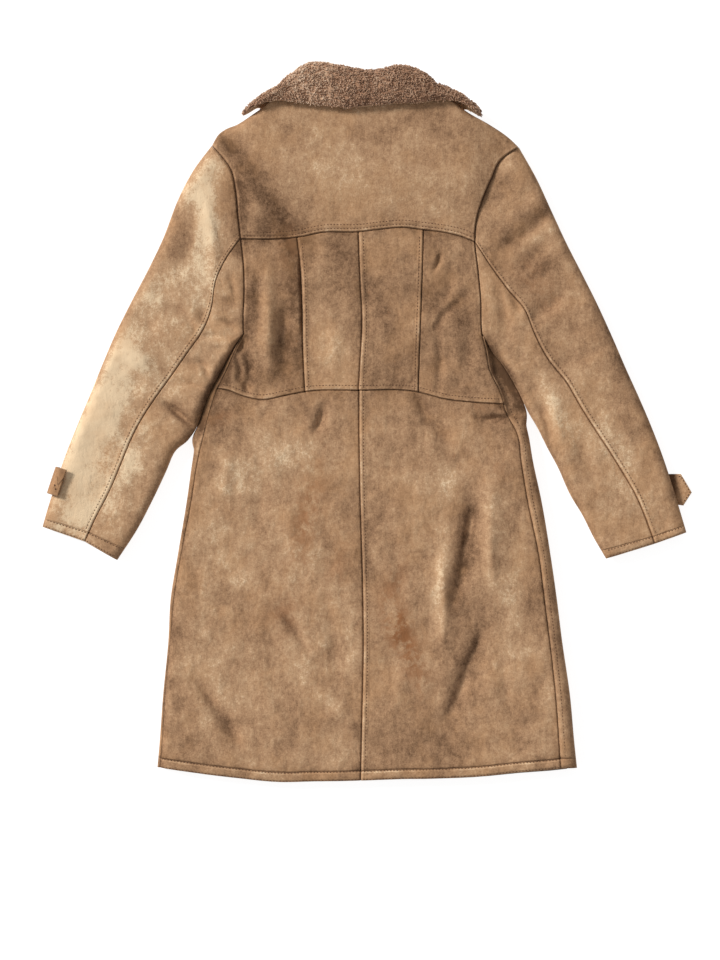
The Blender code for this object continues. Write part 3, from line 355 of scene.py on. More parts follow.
# Soft oval patches of the hide's tone, and of rust-brown marks: x, y, half the length, half the width,
# lean in degrees, and amount, which in the tone is above 0 for pale and below for dark. The tone patches are
# partly the hide's own mottling and partly painted light and shade: pale on the lit left sleeve, dark along
# folds and in the crevices by the arms.
TONE_AND_SHADE_PATCHES = (
    (-226, 262, 80, 15, 84, 0.8),
    (-238, 322, 40, 20, 62, 0.5),
    (-268, 206, 40, 16, 62, 0.35),
    (-250, 330, 50, 22, 60, 0.25),
    (-402, -44, 85, 30, 66, 1.1),
    (-352, 60, 60, 22, 60, 0.35),
    (-364, -96, 80, 30, 62, 0.35),
    (384, -96, 60, 26, -62, 0.3),
    (-330, -60, 60, 20, 62, 0.3),
    (-372, 20, 50, 30, 60, 0.5),
    (-400, -130, 50, 24, 60, 0.4),
    (-340, 110, 60, 16, 58, 0.3),
    (-330, 60, 60, 30, 55, 0.3),
    (-300, 170, 60, 18, 55, 0.25),
    (-262, 250, 40, 16, 70, -0.35),
    (-240, 40, 50, 25, 60, -0.25),
    (-142, 318, 66, 21, -57, -0.95),
    (-178, 300, 56, 13, 88, -0.7),
    (-160, 200, 70, 40, 88, -0.3),
    (-188, 384, 26, 9, -50, -0.45),
    (-104, 150, 90, 10, 88, -0.4),
    (-211, 58, 80, 9, 64.7, -0.9),
    (194, 66, 52, 8, -64, -0.9),
    (-138, 165, 80, 12, 88, 0.3),
    (-111, 236, 34, 11, 84, -0.5),
    (-168, 120, 60, 12, 88, -0.1),
    (-84, 165, 60, 10, 88, -0.3),
    (-42, 106, 50, 20, 88, 0.2),
    (-60, 340, 60, 40, 0, 0.12),
    (60, 320, 70, 50, 0, 0.10),
    (0, 285, 60, 14, 4, -0.22),
    (-8, 400, 70, 20, 0, -0.18),
    (40, 130, 36, 60, 0, -0.2),
    (130, 150, 60, 30, 90, -0.15),
    (186, 250, 60, 24, 70, -0.3),
    (244, 214, 44, 11, 38, -0.45),
    (232, 290, 44, 12, 38, -0.4),
    (236, 256, 50, 12, 38, 0.45),
    (200, 372, 40, 20, 60, 0.2),
    (250, 100, 60, 20, -60, -0.2),
    (350, -40, 90, 30, -60, 0.4),
    (300, 60, 60, 20, -60, 0.25),
    (270, 10, 50, 14, -60, 0.3),
    (-200, 0, 40, 26, 10, -0.3),
    (-178, -80, 46, 38, 20, 0.4),
    (-184, -203, 62, 20, -60, 0.5),
    (-216, -378, 46, 20, -50, 0.3),
    (-105, -425, 44, 26, 10, -0.3),
    (-246, -232, 50, 14, 84, -0.3),
    (-90, -60, 50, 30, 80, 0.2),
    (-130, -300, 50, 40, 40, -0.25),
    (-60, -390, 60, 40, 0, 0.2),
    (-90, -170, 70, 30, 85, 0.3),
    (-120, -40, 40, 30, 30, 0.15),
    (212, -200, 180, 14, 82, 0.3),
    (90, -380, 70, 40, 20, 0.2),
    (-210, -420, 40, 50, 0, -0.15),
    (100, -200, 120, 12, 86, 0.35),
    (130, -215, 90, 11, 80, -0.35),
    (180, -150, 70, 16, 88, 0.15),
    (117, -80, 34, 26, 60, 0.45),
    (182, -236, 34, 14, -50, 0.35),
    (70, -60, 60, 30, 60, -0.15),
    (150, -300, 60, 30, 60, -0.2),
    (60, -60, 60, 30, 60, 0.15),
    (90, -400, 60, 40, 20, -0.15),
    (200, -380, 60, 20, 88, 0.1),
)
STAINS = (
    (58, -318, 56, 17, 110, 1.0),
    (42, -285, 24, 14, 80, 0.9),
    (36, -230, 40, 14, 70, 0.5),
    (-86, -136, 80, 20, 80, 0.65),
    (-40, -200, 50, 14, 80, 0.3),
    (-206, 6, 18, 10, 20, 0.4),
    (-120, -270, 30, 20, 30, 0.35),
    (150, 20, 30, 10, 0, 0.25),
    (240, 190, 50, 20, -50, 0.3),
    (-110, 240, 20, 40, 0, 0.2),
    (-290, 120, 30, 14, 50, 0.2),
    (190, -60, 30, 14, 80, 0.25),
)


def smooth_track(stations, values):
    """A function that passes smoothly through the values, and runs straight on past the ends."""
    at, value = np.array(stations, float), np.array(values, float)
    slope = np.gradient(value, at)

    def read(x):
        x = np.asarray(x, float)
        held = np.clip(x, at[0], at[-1])
        i = np.clip(np.searchsorted(at, held, side="right") - 1, 0, len(at) - 2)
        step = at[i + 1] - at[i]
        t = (held - at[i]) / step
        start = value[i] * (1 + 2 * t) * (1 - t) ** 2 + slope[i] * step * t * (1 - t) ** 2
        end = value[i + 1] * t * t * (3 - 2 * t) - slope[i + 1] * step * t * t * (1 - t)
        return start + end + (x - held) * np.where(x < at[0], slope[0], slope[-1])

    return read


def smooth_line(points):
    """A function from a share of the line's length to the point there."""
    line = np.array(points, float)
    run = np.concatenate([[0], np.cumsum(np.linalg.norm(np.diff(line, axis=0), axis=1))])
    across, along = smooth_track(run / run[-1], line[:, 0]), smooth_track(run / run[-1], line[:, 1])
    return lambda share: np.stack([across(share), along(share)], axis=-1)


def length_of(points):
    return float(np.linalg.norm(np.diff(np.array(points, float), axis=0), axis=1).sum())


def columns(names, table):
    return {name: np.array([row[i] for row in table], float) for i, name in enumerate(names)}


def smoothstep(x):
    x = np.clip(x, 0, 1)
    return x * x * (3 - 2 * x)


def bell(distance, width):
    """1 at no distance, and next to nothing from about twice the width."""
    return np.exp(-((distance / width) ** 2))


def between(low, high, shares):
    return low + (high - low) * np.asarray(shares, float)


def across_at_y(points):
    """x along a line that climbs in y."""
    table = np.array(points, float)
    return smooth_track(table[:, 1], table[:, 0])


def along_at_x(points):
    """y along a line that runs in x, either way."""
    table = np.array(sorted(points), float)
    return smooth_track(table[:, 0], table[:, 1])


body = columns(BODY_COLUMNS, BODY)
hem_y, waist_y, yoke_y, shoulder_y = (along_at_x(line) for line in (HEM, WAIST, YOKE, SHOULDER))
shoulder_x = smooth_track(range(len(SHOULDER)), [x for x, _ in SHOULDER])  # counted in points of the table
dart_left, centre_back, dart_right, skirt_centre = (
    across_at_y(line) for line in (DART_LEFT, CENTRE_BACK, DART_RIGHT, SKIRT_CENTRE)
)


def band_y(x):
    """The seam of the hem band."""
    return hem_y(x) + BAND


def meeting(x_of_y, y_of_x, guess):
    """The y where a line that climbs meets a line that crosses."""
    y = guess
    for _ in range(20):
        y = float(y_of_x(x_of_y(y)))
    return y


def graded(length, cell):
    """Shares along a length: close together at its sewn ends, and a cell apart between them."""
    steps = EDGE_STEPS * min(1.0, length / (3 * EDGE_STEPS[-1]))
    count = max(2, round((length - 2 * steps[-1]) / cell) + 1)
    middle = np.linspace(steps[-1], length - steps[-1], count)[1:-1]
    return np.concatenate([steps, middle, (length - steps)[::-1]]) / length


class Side:
    """One side of the body: its edge, side seam and armhole as x for a y, and where its rows start."""

    def __init__(self, name):
        left = name == "left"
        self.name = name
        self.inward = 1 if left else -1
        self.edge = smooth_track(body["y"], body["edge_" + name])
        self.seam = smooth_track(body["y"], body["seam_" + name])
        self.armhole = across_at_y(ARMHOLE_LEFT if left else ARMHOLE_RIGHT)
        sleeve = np.array([row[-2:] for row in (SLEEVE_LEFT if left else SLEEVE_RIGHT)], float)
        self.beside = smooth_track(sleeve[::-1, 1], sleeve[::-1, 0])
        self.pocket = POCKET_LEFT if left else POCKET_RIGHT
        self.neckline = along_at_x(NECKLINE_LEFT if left else NECKLINE_RIGHT)
        self.neck_x = NECK_LEFT if left else NECK_RIGHT
        self.lap = CENTRE_FRONT + (LAP_LEFT if left else LAP_RIGHT)
        self.lap_start, self.lap_taper = LAP_START[name], LAP_TAPER[name]
        self.lap_floor = LAP_WALL + GAP if left else 0.0  # the left front laps over the right one
        self.shoulder_end = SHOULDER[0 if left else -1]
        self.hem = meeting(self.seam, hem_y, -484)
        self.band = meeting(self.seam, band_y, -470)
        self.waist = meeting(self.seam, waist_y, 40)
        self.yoke = meeting(self.armhole, yoke_y, 255)

    def filled(self, y):
        """x of the edge, which fills out to the sleeve beside it under the arm."""
        y = np.asarray(y, float)
        edge = self.edge(y)
        sleeve = self.beside(np.maximum(y, SLEEVE_LEAVES_Y))
        room = np.maximum((edge - sleeve) * self.inward - UNDERARM_GAP, 0)
        low, high, _ = self.pocket
        return edge - self.inward * room * smoothstep((y - low) / (high - low))

    def hollow(self, x, y):
        """How deep the body's side dips between its seam and the sleeve."""
        low, high, depth = self.pocket
        over = (self.seam(y) - x) * self.inward
        along = smoothstep((y - low) / (high - low)) * smoothstep((ARMPIT_Y - y) / 14)
        return depth * smoothstep(over / 5) * along

    def above(self, x_of_y):
        """The edge or the seam, which both end at the armpit, and the armhole above it."""
        return lambda y: np.where(np.asarray(y) < ARMPIT_Y, x_of_y(y), self.armhole(y))


SIDES = {name: Side(name) for name in ("left", "right")}


class Cloud:
    """Smooth seeded noise from -1 to 1 over a plane, with lumps of the given size."""

    LATTICE = 512

    def __init__(self, seed, size, stretch=1.0):
        self.values = np.random.default_rng(seed).uniform(-1, 1, (self.LATTICE, self.LATTICE))
        self.size = (size, size * stretch)

    def __call__(self, x, y):
        u = np.asarray(x, float) / self.size[0] + self.LATTICE / 2
        v = np.asarray(y, float) / self.size[1] + self.LATTICE / 2
        i, j = np.floor(u).astype(int), np.floor(v).astype(int)
        s, t = smoothstep(u - i), smoothstep(v - j)
        i, j = i % self.LATTICE, j % self.LATTICE
        n, m = (i + 1) % self.LATTICE, (j + 1) % self.LATTICE
        low = self.values[i, j] * (1 - s) + self.values[n, j] * s
        high = self.values[i, m] * (1 - s) + self.values[n, m] * s
        return low * (1 - t) + high * t


CREASE_DEPTH = 1.6  # of the fine creases, to their table
SWELL, DIMPLE, RIPPLE = Cloud(11, 46.0), Cloud(12, 19.0), Cloud(13, 8.0)
CREPE = Cloud(14, 10.0, 2.2)
PUCKER = Cloud(15, 6.0)
PUCKER_WIDTH = 7.746
SEAM_DEPTH = 1.7
STITCH_DENT, DENT_WIDTH = 0.6, 0.9  # of a row of stitching


def rumple(x, y):
    """The hide's own unevenness."""
    crepe = np.abs(CREPE(x + 0.35 * y, y - 0.35 * x))
    return 1.7 * SWELL(x, y) + 0.85 * DIMPLE(x, y) + 0.30 * RIPPLE(x, y) - 0.6 * (1 - crepe) ** 6


def folds_at(x, y, table):
    """Height that the folds add: soft troughs and ridges along bowed lines, which fade to their ends."""
    total = np.zeros(np.broadcast(x, y).shape)
    for x0, y0, x1, y1, bow, width, rise in table:
        length = np.hypot(x1 - x0, y1 - y0)
        ux, uy = (x1 - x0) / length, (y1 - y0) / length
        along = ((x - x0) * ux + (y - y0) * uy) / length
        held = np.clip(along, 0, 1)
        aside = (x - x0) * -uy + (y - y0) * ux - bow * 4 * held * (1 - held)
        past = (along - held) * length
        fade = np.sin(np.pi * (0.12 + 0.76 * held))
        total = total + rise * fade * bell(np.hypot(aside, past), width)
    return total


def patches_at(x, y, table):
    """Soft oval patches added up, each leaning by an angle in degrees."""
    total = np.zeros(np.broadcast(x, y).shape)
    for middle_x, middle_y, half_long, half_wide, lean, amount in table:
        c, s = np.cos(np.radians(lean)), np.sin(np.radians(lean))
        right, up = x - middle_x, y - middle_y
        along, aside = right * c + up * s, up * c - right * s
        total = total + amount * bell(along, half_long) * bell(aside, half_wide)
    return total


def worn_edge_and_shade(x, y, over):
    """The tone beside a seam, by the distance over its allowance: a pale fold, partly wear and partly
    painted highlight, and painted shade where it sinks.
    """
    pale = 0.36 * bell(over - 2.2, 1.3) * (1 + 0.6 * DIMPLE(x, y))
    sunk = 0.3 * smoothstep(-over / 1.5) * np.exp(-np.abs(over) / 6) + 0.5 * bell(over, 0.9)
    return pale - sunk


def seam_height(at, over, rows, rise, depth, sink_width):
    """Relief across a seam: its groove in a shallow dip, its allowance and the rows that hold it."""
    height = -depth * bell(over, 1.1) - 0.9 * np.exp(-np.abs(over) / sink_width)
    if not rows:
        return height
    last = rows[-1]
    height = height + rise * smoothstep(over / 1.6) * (1 - smoothstep((over - last - 0.5) / 2.4))
    height = height - sum(STITCH_DENT * bell(over - row, DENT_WIDTH) for row in rows)
    return height + 0.28 * PUCKER(at, over * 0.5) * bell(over - last, PUCKER_WIDTH)


class Seam:
    """A seam on the upper side.

    Its allowance is pressed to one side, 1 for right or up and -1 for left or down, and rows of
    stitching hold it there at their distances from the seam.
    """

    SINK_WIDTH = 11.0

    def __init__(self, line, climbs, span, pressed, rows=(), rise=0.9, depth=SEAM_DEPTH, gape=()):
        self.line, self.climbs, self.span, self.pressed = line, climbs, span, pressed
        self.rows, self.rise, self.depth, self.gape = rows, rise, depth, gape

    def split(self, x, y):
        """(distance along the seam, distance to its right or above it)."""
        at, over = (y, x) if self.climbs else (x, y)
        slope = (self.line(at + 1) - self.line(at - 1)) / 2
        return at, (over - self.line(at)) / np.hypot(1, slope)

    def here(self, at):
        """1 along the seam and 0 past its ends."""
        low, high = self.span
        return smoothstep((at - low + 1.5) / 1.5) * smoothstep((high - at + 1.5) / 1.5)

    def relief(self, x, y):
        at, aside = self.split(x, y)
        over = aside * self.pressed
        height = seam_height(at, over, self.rows, self.rise, self.depth, self.SINK_WIDTH)
        for start, stop, sink, width in self.gape:
            inside = smoothstep((at - start) / 25) * smoothstep((stop - at) / 25)
            height = height - sink * inside * bell(over + 0.7, width)
        return self.here(at) * height

    def rub_and_shade(self, x, y):
        """The tone that the seam adds: its pale fold, partly wear and partly painted highlight, and its
        painted shade.
        """
        at, aside = self.split(x, y)
        return self.here(at) * worn_edge_and_shade(x, y, aside * self.pressed)


LEFT, RIGHT = SIDES["left"], SIDES["right"]
YOKE_SEAM = Seam(yoke_y, False, (LEFT.armhole(257), RIGHT.armhole(255)), 1, (4.5, 10.0))
WAIST_SEAM = Seam(waist_y, False, (LEFT.seam(LEFT.waist), RIGHT.seam(RIGHT.waist)), 1, (6.7,))
DART_LEFT_SEAM = Seam(dart_left, True, (43, 260), 1, (6.0,), gape=((112, 240, 3.2, 2.6),))
CENTRE_BACK_SEAM = Seam(centre_back, True, (45, 267), 1, (6.5,))
DART_RIGHT_SEAM = Seam(dart_right, True, (43, 270), -1, (5.2,))
SKIRT_SEAM = Seam(skirt_centre, True, (-520, 45), 1, (5.8,))
SIDE_SEAM_LEFT = Seam(LEFT.seam, True, (-520, 122), -1, rise=0.0)
SIDE_SEAM_RIGHT = Seam(RIGHT.seam, True, (-520, 122), 1, (7.0,), rise=0.5)
ARMHOLE_SEAM_LEFT = Seam(LEFT.armhole, True, (124, 400), 1, rise=0.0, depth=2.2)
ARMHOLE_SEAM_RIGHT = Seam(RIGHT.armhole, True, (124, 400), -1, rise=0.0, depth=2.2)
HEM_SEAM = Seam(band_y, False, (-320, 320), -1, (1.2, 12.2), rise=0.6, depth=1.0)
BODY_SEAMS = (
    YOKE_SEAM, WAIST_SEAM, DART_LEFT_SEAM, CENTRE_BACK_SEAM, DART_RIGHT_SEAM, SKIRT_SEAM,
    SIDE_SEAM_LEFT, SIDE_SEAM_RIGHT, ARMHOLE_SEAM_LEFT, ARMHOLE_SEAM_RIGHT, HEM_SEAM,
)


def neck_share(x, y):
    """1 over the front half of the collar, 0 where the coat is down on the table."""
    low, high = NECK_Y
    near, far = NECK_HALF
    return smoothstep((y - low) / (high - low)) * smoothstep((far - np.abs(x - NECK_X)) / (far - near))


def turn(distance, radius):
    """(share, inset) at a distance in from an edge: the sine and cosine of how far the edge has turned."""
    cosine = np.clip(1 - distance / radius, 0, 1)
    return np.sqrt(1 - cosine**2), cosine


def wrapped(run, radius):
    """(distance in from the edge, share) at a run along the section, above the edge or below it."""
    angle = np.clip(np.abs(run) / radius, 0, np.pi / 2)
    past = np.maximum(np.abs(run) - radius * np.pi / 2, 0)
    return radius * (1 - np.cos(angle)) + past, np.sin(angle) * np.sign(run)


def run_to(distance, radius):
    """The run along a section that reaches a distance in from the edge."""
    turned = radius * np.arccos(np.clip(1 - distance / radius, -1, 1))
    return np.where(distance < radius, turned, radius * np.pi / 2 + distance - radius)


def side_round(y):
    return SEAM_ROUND + (SIDE_ROUND - SEAM_ROUND) * smoothstep((ARMPIT_Y - y) / 70)


def shoulder_turn(x, y, radius):
    """(share, inset) at the shoulders' edge. Along the neck, under the collar, nothing turns."""
    slope = (shoulder_y(x + 1) - shoulder_y(x - 1)) / 2
    share, inset = turn(np.maximum(shoulder_y(x) - y, 0) / np.hypot(1, slope), radius)
    sewn = np.clip(smoothstep((NECK_LEFT - x) / 18) + smoothstep((x - NECK_RIGHT) / 18), 0, 1)
    return 1 + (share - 1) * sewn, inset * sewn


def lap_lift(x):
    """How far the lap stands over the buttons."""
    return BUTTON_LIFT * smoothstep((30 - np.abs(x - CENTRE_FRONT - BUTTON_LINE)) / 14)


def front_fill(x):
    """Level that the fronts fill below the back: one wall, or at the lap two thin ones over buttons."""
    lap = smoothstep((90 - np.abs(x - CENTRE_FRONT + 10)) / 40)
    return FRONT_WALL + (BUTTON_LIFT + 2 * LAP_WALL + GAP - FRONT_WALL) * lap


def crest_at(x, y):
    """Outer height of the back away from its edges, with its creases, its seams and the hide's rumple."""
    neck = neck_share(x, y)
    flat = CREST + (NECK_CREST - CREST) * neck + folds_at(x, y, BODY_FOLDS) * (1 - neck)
    base = NECK_RAISE * neck + np.maximum(flat, front_fill(x) + LAYER_GAP + FLEECE_MIN)
    fine = (CREASE_DEPTH * folds_at(x, y, BODY_CREASES) + rumple(x, y)) * (1 - 0.75 * neck)
    fine = fine + sum(seam.relief(x, y) for seam in BODY_SEAMS)
    return np.maximum(base + fine, NECK_RAISE * neck + front_fill(x) + LAYER_GAP + 1.5)


def hem_share(x, y):
    """How far the band has turned over at the hem's edge, from 0 to 1."""
    return turn(np.maximum(y - hem_y(x), 0), HEM_ROUND)[0]


def inside_armholes(x, y):
    """x kept between the armholes, where a turned shoulder's inner edge would pass them."""
    left, right = (side.armhole(y) + side.inward * HALF_GAP for side in SIDES.values())
    return np.where(y > ARMPIT_Y, np.clip(x, left, right), x)


def back_layer(plan):
    """(outer, inner) points of the upper layer over plan points."""
    x, y = plan[..., 0], plan[..., 1]
    raised, crest = NECK_RAISE * neck_share(x, y), crest_at(x, y)
    below = y < ARMPIT_Y
    left, left_inset = turn(np.where(below, x - LEFT.edge(y), 1e3), side_round(y))
    right, right_inset = turn(np.where(below, RIGHT.edge(y) - x, 1e3), side_round(y))
    top, top_inset = shoulder_turn(x, y, SHOULDER_ROUND)
    share = left * right * top
    ceiling = np.maximum(front_fill(x) + LAYER_GAP + raised, crest - BACK_WALL)
    outer_z = raised + MIDDLE + GAP + share * (crest - raised - MIDDLE - GAP)
    outer_z -= RIM_DROP * share * (1 - hem_share(x, y))
    inner_z = raised + INNER_MIDDLE + GAP + share * (ceiling - raised - INNER_MIDDLE - GAP)
    inner_x = x + INNER_TURN * side_round(y) * (left_inset - right_inset)
    inner_y = y - INNER_TURN * SHOULDER_ROUND * top_inset
    inner_x = inside_armholes(inner_x, inner_y)
    return np.stack([x, y, outer_z], axis=-1), np.stack([inner_x, inner_y, inner_z], axis=-1)


def coons(left, right, bottom, top, across, up):
    """Plan points of a patch inside four lines of points, at its shares across and up."""
    u, v = across[None, :, None], up[:, None, None]
    sides = (1 - u) * left[:, None] + u * right[:, None]
    ends = (1 - v) * bottom[None] + v * top[None]
    low, high = ((1 - u) * end[0] + u * end[-1] for end in (bottom, top))
    return sides + ends - (1 - v) * low - v * high


def climbing(x_of_y, y, shift=0.0):
    return np.stack([x_of_y(y) + shift, y], axis=-1)


def crossing(y_of_x, x, shift=0.0):
    return np.stack([x, y_of_x(x) + shift], axis=-1)


def tone_of(x, y, z, crest):
    """The hide's tone from its patches, which hold painted light and shade, with ridges paler as wear and
    painted highlight, and troughs and hollows darker as painted shade.
    """
    drop = crest - z
    # Paler raised ridges as wear and painted highlight, and darker troughs and hollows as painted shade.
    wear_light_and_shade = np.clip(-drop * 0.065, -0.45, 0.25) * (1 - smoothstep((drop - 6) / 5))
    return patches_at(x, y, TONE_AND_SHADE_PATCHES) + wear_light_and_shade


def make_mesh(name, points, faces, fields, finishes, kinds=None):
    """A smooth-shaded object in metres. fields are numbers at its points that its finish reads."""
    data = bpy.data.meshes.new(name)
    data.from_pydata((points * MM).tolist(), [], faces)
    for field, values in fields.items():
        held = data.attributes.new(field, "FLOAT", "POINT")
        held.data.foreach_set("value", np.broadcast_to(values, len(points)).astype(np.float32))
    for finish in finishes:
        data.materials.append(finish)
    if kinds is not None:
        data.polygons.foreach_set("material_index", kinds)
    data.polygons.foreach_set("use_smooth", np.ones(len(faces), bool))
    data.update()
    made = bpy.data.objects.new(name, data)
    bpy.context.scene.collection.objects.link(made)
    return made


def volume_of(points, faces):
    """Six times the volume, below 0 if the faces point inwards."""
    total = 0.0
    by_count = {}
    for face in faces:
        by_count.setdefault(len(face), []).append(face)
    for count, group in by_count.items():
        corners = points[np.array(group)]
        for k in range(1, count - 1):
            cross = np.cross(corners[:, k], corners[:, k + 1])
            total += float(np.einsum("ij,ij->", corners[:, 0], cross))
    return total


def outward(points, faces):
    """The faces of a closed mesh, turned to face outwards."""
    return faces if volume_of(points, faces) > 0 else [face[::-1] for face in faces]


def quads(index):
    """Faces between the neighbours of a grid of point numbers."""
    corners = (index[:-1, :-1], index[:-1, 1:], index[1:, 1:], index[1:, :-1])
    return np.stack(corners, axis=-1).reshape(-1, 4).tolist()


def ringed(index):
    """A grid of point numbers whose rows are rings, with each ring's first point again at its end."""
    return np.column_stack([index, index[:, 0]])


def stepped(count):
    """Every few indices of a row, with its last."""
    kept = list(range(0, count - 1, INNER_STEP))
    return np.array([*kept, count - 1])


def make_wall(name, outer, inner, fields, finishes):
    """A closed wall between two grids of points. Its inner grid keeps fewer of them."""
    rows, count = outer.shape[:2]
    down, across = stepped(rows), stepped(count)
    inner = inner[np.ix_(down, across)]
    face = np.arange(rows * count).reshape(rows, count)
    back = rows * count + np.arange(len(down) * len(across)).reshape(len(down), len(across))
    outside, inside = quads(face), quads(back.T)
    faces = outside + inside
    borders = (
        (face[0], back[0], across, True), (face[-1], back[-1], across, False),
        (face[:, 0], back[:, 0], down, False), (face[:, -1], back[:, -1], down, True),
    )
    for near, far, kept, turned in borders:
        for k, (a, b) in enumerate(zip(kept, kept[1:])):
            rim = [*near[a:b + 1].tolist(), int(far[k + 1]), int(far[k])]
            faces.append(rim[::-1] if turned else rim)
    points = np.concatenate([outer.reshape(-1, 3), inner.reshape(-1, 3)])
    spread = {}
    for key, value in fields.items():
        spread[key] = np.zeros(len(points))
        spread[key][:rows * count] = np.broadcast_to(value, (rows, count)).ravel()
    kinds = np.zeros(len(faces), np.int32)
    kinds[len(outside):len(outside) + len(inside)] = 1
    return make_mesh(name, points, outward(points, faces), spread, finishes, kinds)


def make_tubes(name, centres, widths, sides, fields, finishes):
    """Many short tubes as one mesh. Each runs through its centres and comes to a point at both ends."""
    count, rings = centres.shape[:2]
    heading = centres[:, -1] - centres[:, 0]
    heading /= np.linalg.norm(heading, axis=1)[:, None]
    helper = np.where(np.abs(heading[:, 2:]) > 0.8, (1.0, 0.0, 0.0), (0.0, 0.0, 1.0))
    first = np.cross(heading, helper)
    first /= np.linalg.norm(first, axis=1)[:, None]
    second = np.cross(heading, first)
    angle = np.arange(sides) * 2 * np.pi / sides
    around = first[:, None] * np.cos(angle)[None, :, None] + second[:, None] * np.sin(angle)[None, :, None]
    ring_points = centres[:, 1:-1, None] + around[:, None] * widths[:, :, None, None]
    middle = rings - 2
    each = middle * sides + 2
    points = np.concatenate([ring_points.reshape(count, -1, 3), centres[:, :1], centres[:, -1:]], axis=1)
    index = ringed(np.arange(middle * sides).reshape(middle, sides))
    start = [[after, k, each - 2] for k, after in zip(index[0], index[0, 1:])]
    end = [[k, after, each - 1] for k, after in zip(index[-1], index[-1, 1:])]
    one = outward(points[0], quads(index) + start + end)
    shift = (np.arange(count) * each)[:, None, None]
    round_faces, point_faces = np.array(one[:-2 * sides]), np.array(one[-2 * sides:])
    faces = (round_faces[None] + shift).reshape(-1, 4).tolist()
    faces += (point_faces[None] + shift).reshape(-1, 3).tolist()
    flat = {key: np.broadcast_to(value, (count, each)).ravel() for key, value in fields.items()}
    return make_mesh(name, points.reshape(-1, 3), faces, flat, finishes)


def plate_between(outer, inner):
    """(points, faces) of a closed plate from rings of points above and below, round a small middle."""
    rings, count = outer.shape[:2]
    both = rings * count
    middles = [outer[0].mean(axis=0)[None], inner[0].mean(axis=0)[None]]
    points = np.concatenate([outer.reshape(-1, 3), inner.reshape(-1, 3), *middles])
    upper = ringed(np.arange(both).reshape(rings, count))
    lower = upper + both
    faces = quads(upper) + quads(lower[:, ::-1]) + quads(np.stack([upper[-1], lower[-1]]))
    faces += [[after, k, 2 * both] for k, after in zip(upper[0], upper[0, 1:])]
    faces += [[k, after, 2 * both + 1] for k, after in zip(lower[0], lower[0, 1:])]
    return points, outward(points, faces)


class Value:
    """A socket in a material's nodes. Arithmetic on it adds Math nodes."""

    def __init__(self, finish, socket):
        self.finish, self.socket = finish, socket

    def maths(self, operation, first, second):
        return self.finish.node("Math", {"operation": operation}, {0: first, 1: second})

    def __add__(self, other):
        return self.maths("ADD", self, other)

    def __sub__(self, other):
        return self.maths("SUBTRACT", self, other)

    def __rsub__(self, other):
        return self.maths("SUBTRACT", other, self)

    def __mul__(self, other):
        return self.maths("MULTIPLY", self, other)

    __radd__, __rmul__ = __add__, __mul__

    def step(self, low, high):
        """0 below low, 1 above high, and smooth between."""
        inputs = {"Value": self, "From Min": low, "From Max": high}
        return self.finish.node("MapRange", {"interpolation_type": "SMOOTHSTEP"}, inputs)


class Finish:
    """One material: its Principled shader and what feeds it."""

    def __init__(self, name, roughness, **constants):
        self.material = bpy.data.materials.new(name)
        self.material.use_nodes = True
        self.tree = self.material.node_tree
        self.shader = self.tree.nodes["Principled BSDF"]
        for socket, value in {"Roughness": roughness, **constants}.items():
            self.shader.inputs[socket.replace("_", " ")].default_value = value

    def feed(self, socket, value):
        if isinstance(value, Value):
            self.tree.links.new(value.socket, socket)
        else:
            socket.default_value = value

    def node(self, kind, settings=(), inputs=(), output=0):
        """A node of a type, with its settings, and the values or links of its sockets."""
        made = self.tree.nodes.new("ShaderNode" + kind)
        for key, setting in dict(settings).items():
            if key == "stops":
                ramp = made.color_ramp.elements
                while len(ramp) < len(setting):
                    ramp.new(0.5)
                for stop, (place, colour) in zip(ramp, setting):
                    stop.position, stop.color = place, (*colour, 1)
            else:
                setattr(made, key, setting)
        for key, value in dict(inputs).items():
            self.feed(made.inputs[key], value)
        return Value(self, made.outputs[output])

    def place(self):
        return self.node("TexCoord", output="Object")

    def field(self, name):
        return self.node("Attribute", {"attribute_name": name}, output="Fac")

    def noise(self, place, lumps, detail=3.0, shift=None, rough=0.55, stretch=None):
        """Noise from 0 to 1 with lumps of a size in millimetres."""
        inputs = {"Scale": 1000.0 / lumps, "Detail": detail, "Roughness": rough}
        if stretch:
            place = self.node("VectorMath", {"operation": "MULTIPLY"}, {0: place, 1: stretch})
        settings = {}
        if shift is not None:
            settings["noise_dimensions"] = "4D"
            inputs["W"] = shift
        return self.node("TexNoise", settings, {"Vector": place, **inputs})

    def ramp(self, value, *stops):
        return self.node("ValToRGB", {"stops": stops}, {"Fac": value}, output="Color")

    def mix(self, share, first, second):
        first, second = ((*c, 1) if isinstance(c, tuple) else c for c in (first, second))
        return self.node("Mix", {"data_type": "RGBA"}, {0: share, 6: first, 7: second}, output=2)

    def colour(self, value):
        self.feed(self.shader.inputs["Base Color"], value)

    def bump(self, height, strength, distance):
        """Relief finer than the mesh. The distance is in millimetres."""
        inputs = {"Height": height, "Strength": strength, "Distance": distance * MM}
        self.feed(self.shader.inputs["Normal"], self.node("Bump", (), inputs, "Normal"))


# The hide's colours, dark to pale.
SOOTY = (0.105, 0.055, 0.028)
BROWN = (0.235, 0.132, 0.072)
TAN = (0.390, 0.228, 0.126)
SAND = (0.510, 0.322, 0.186)
CREAM = (0.760, 0.570, 0.370)
RUST = (0.290, 0.125, 0.052)
AMBER = (0.500, 0.270, 0.125)


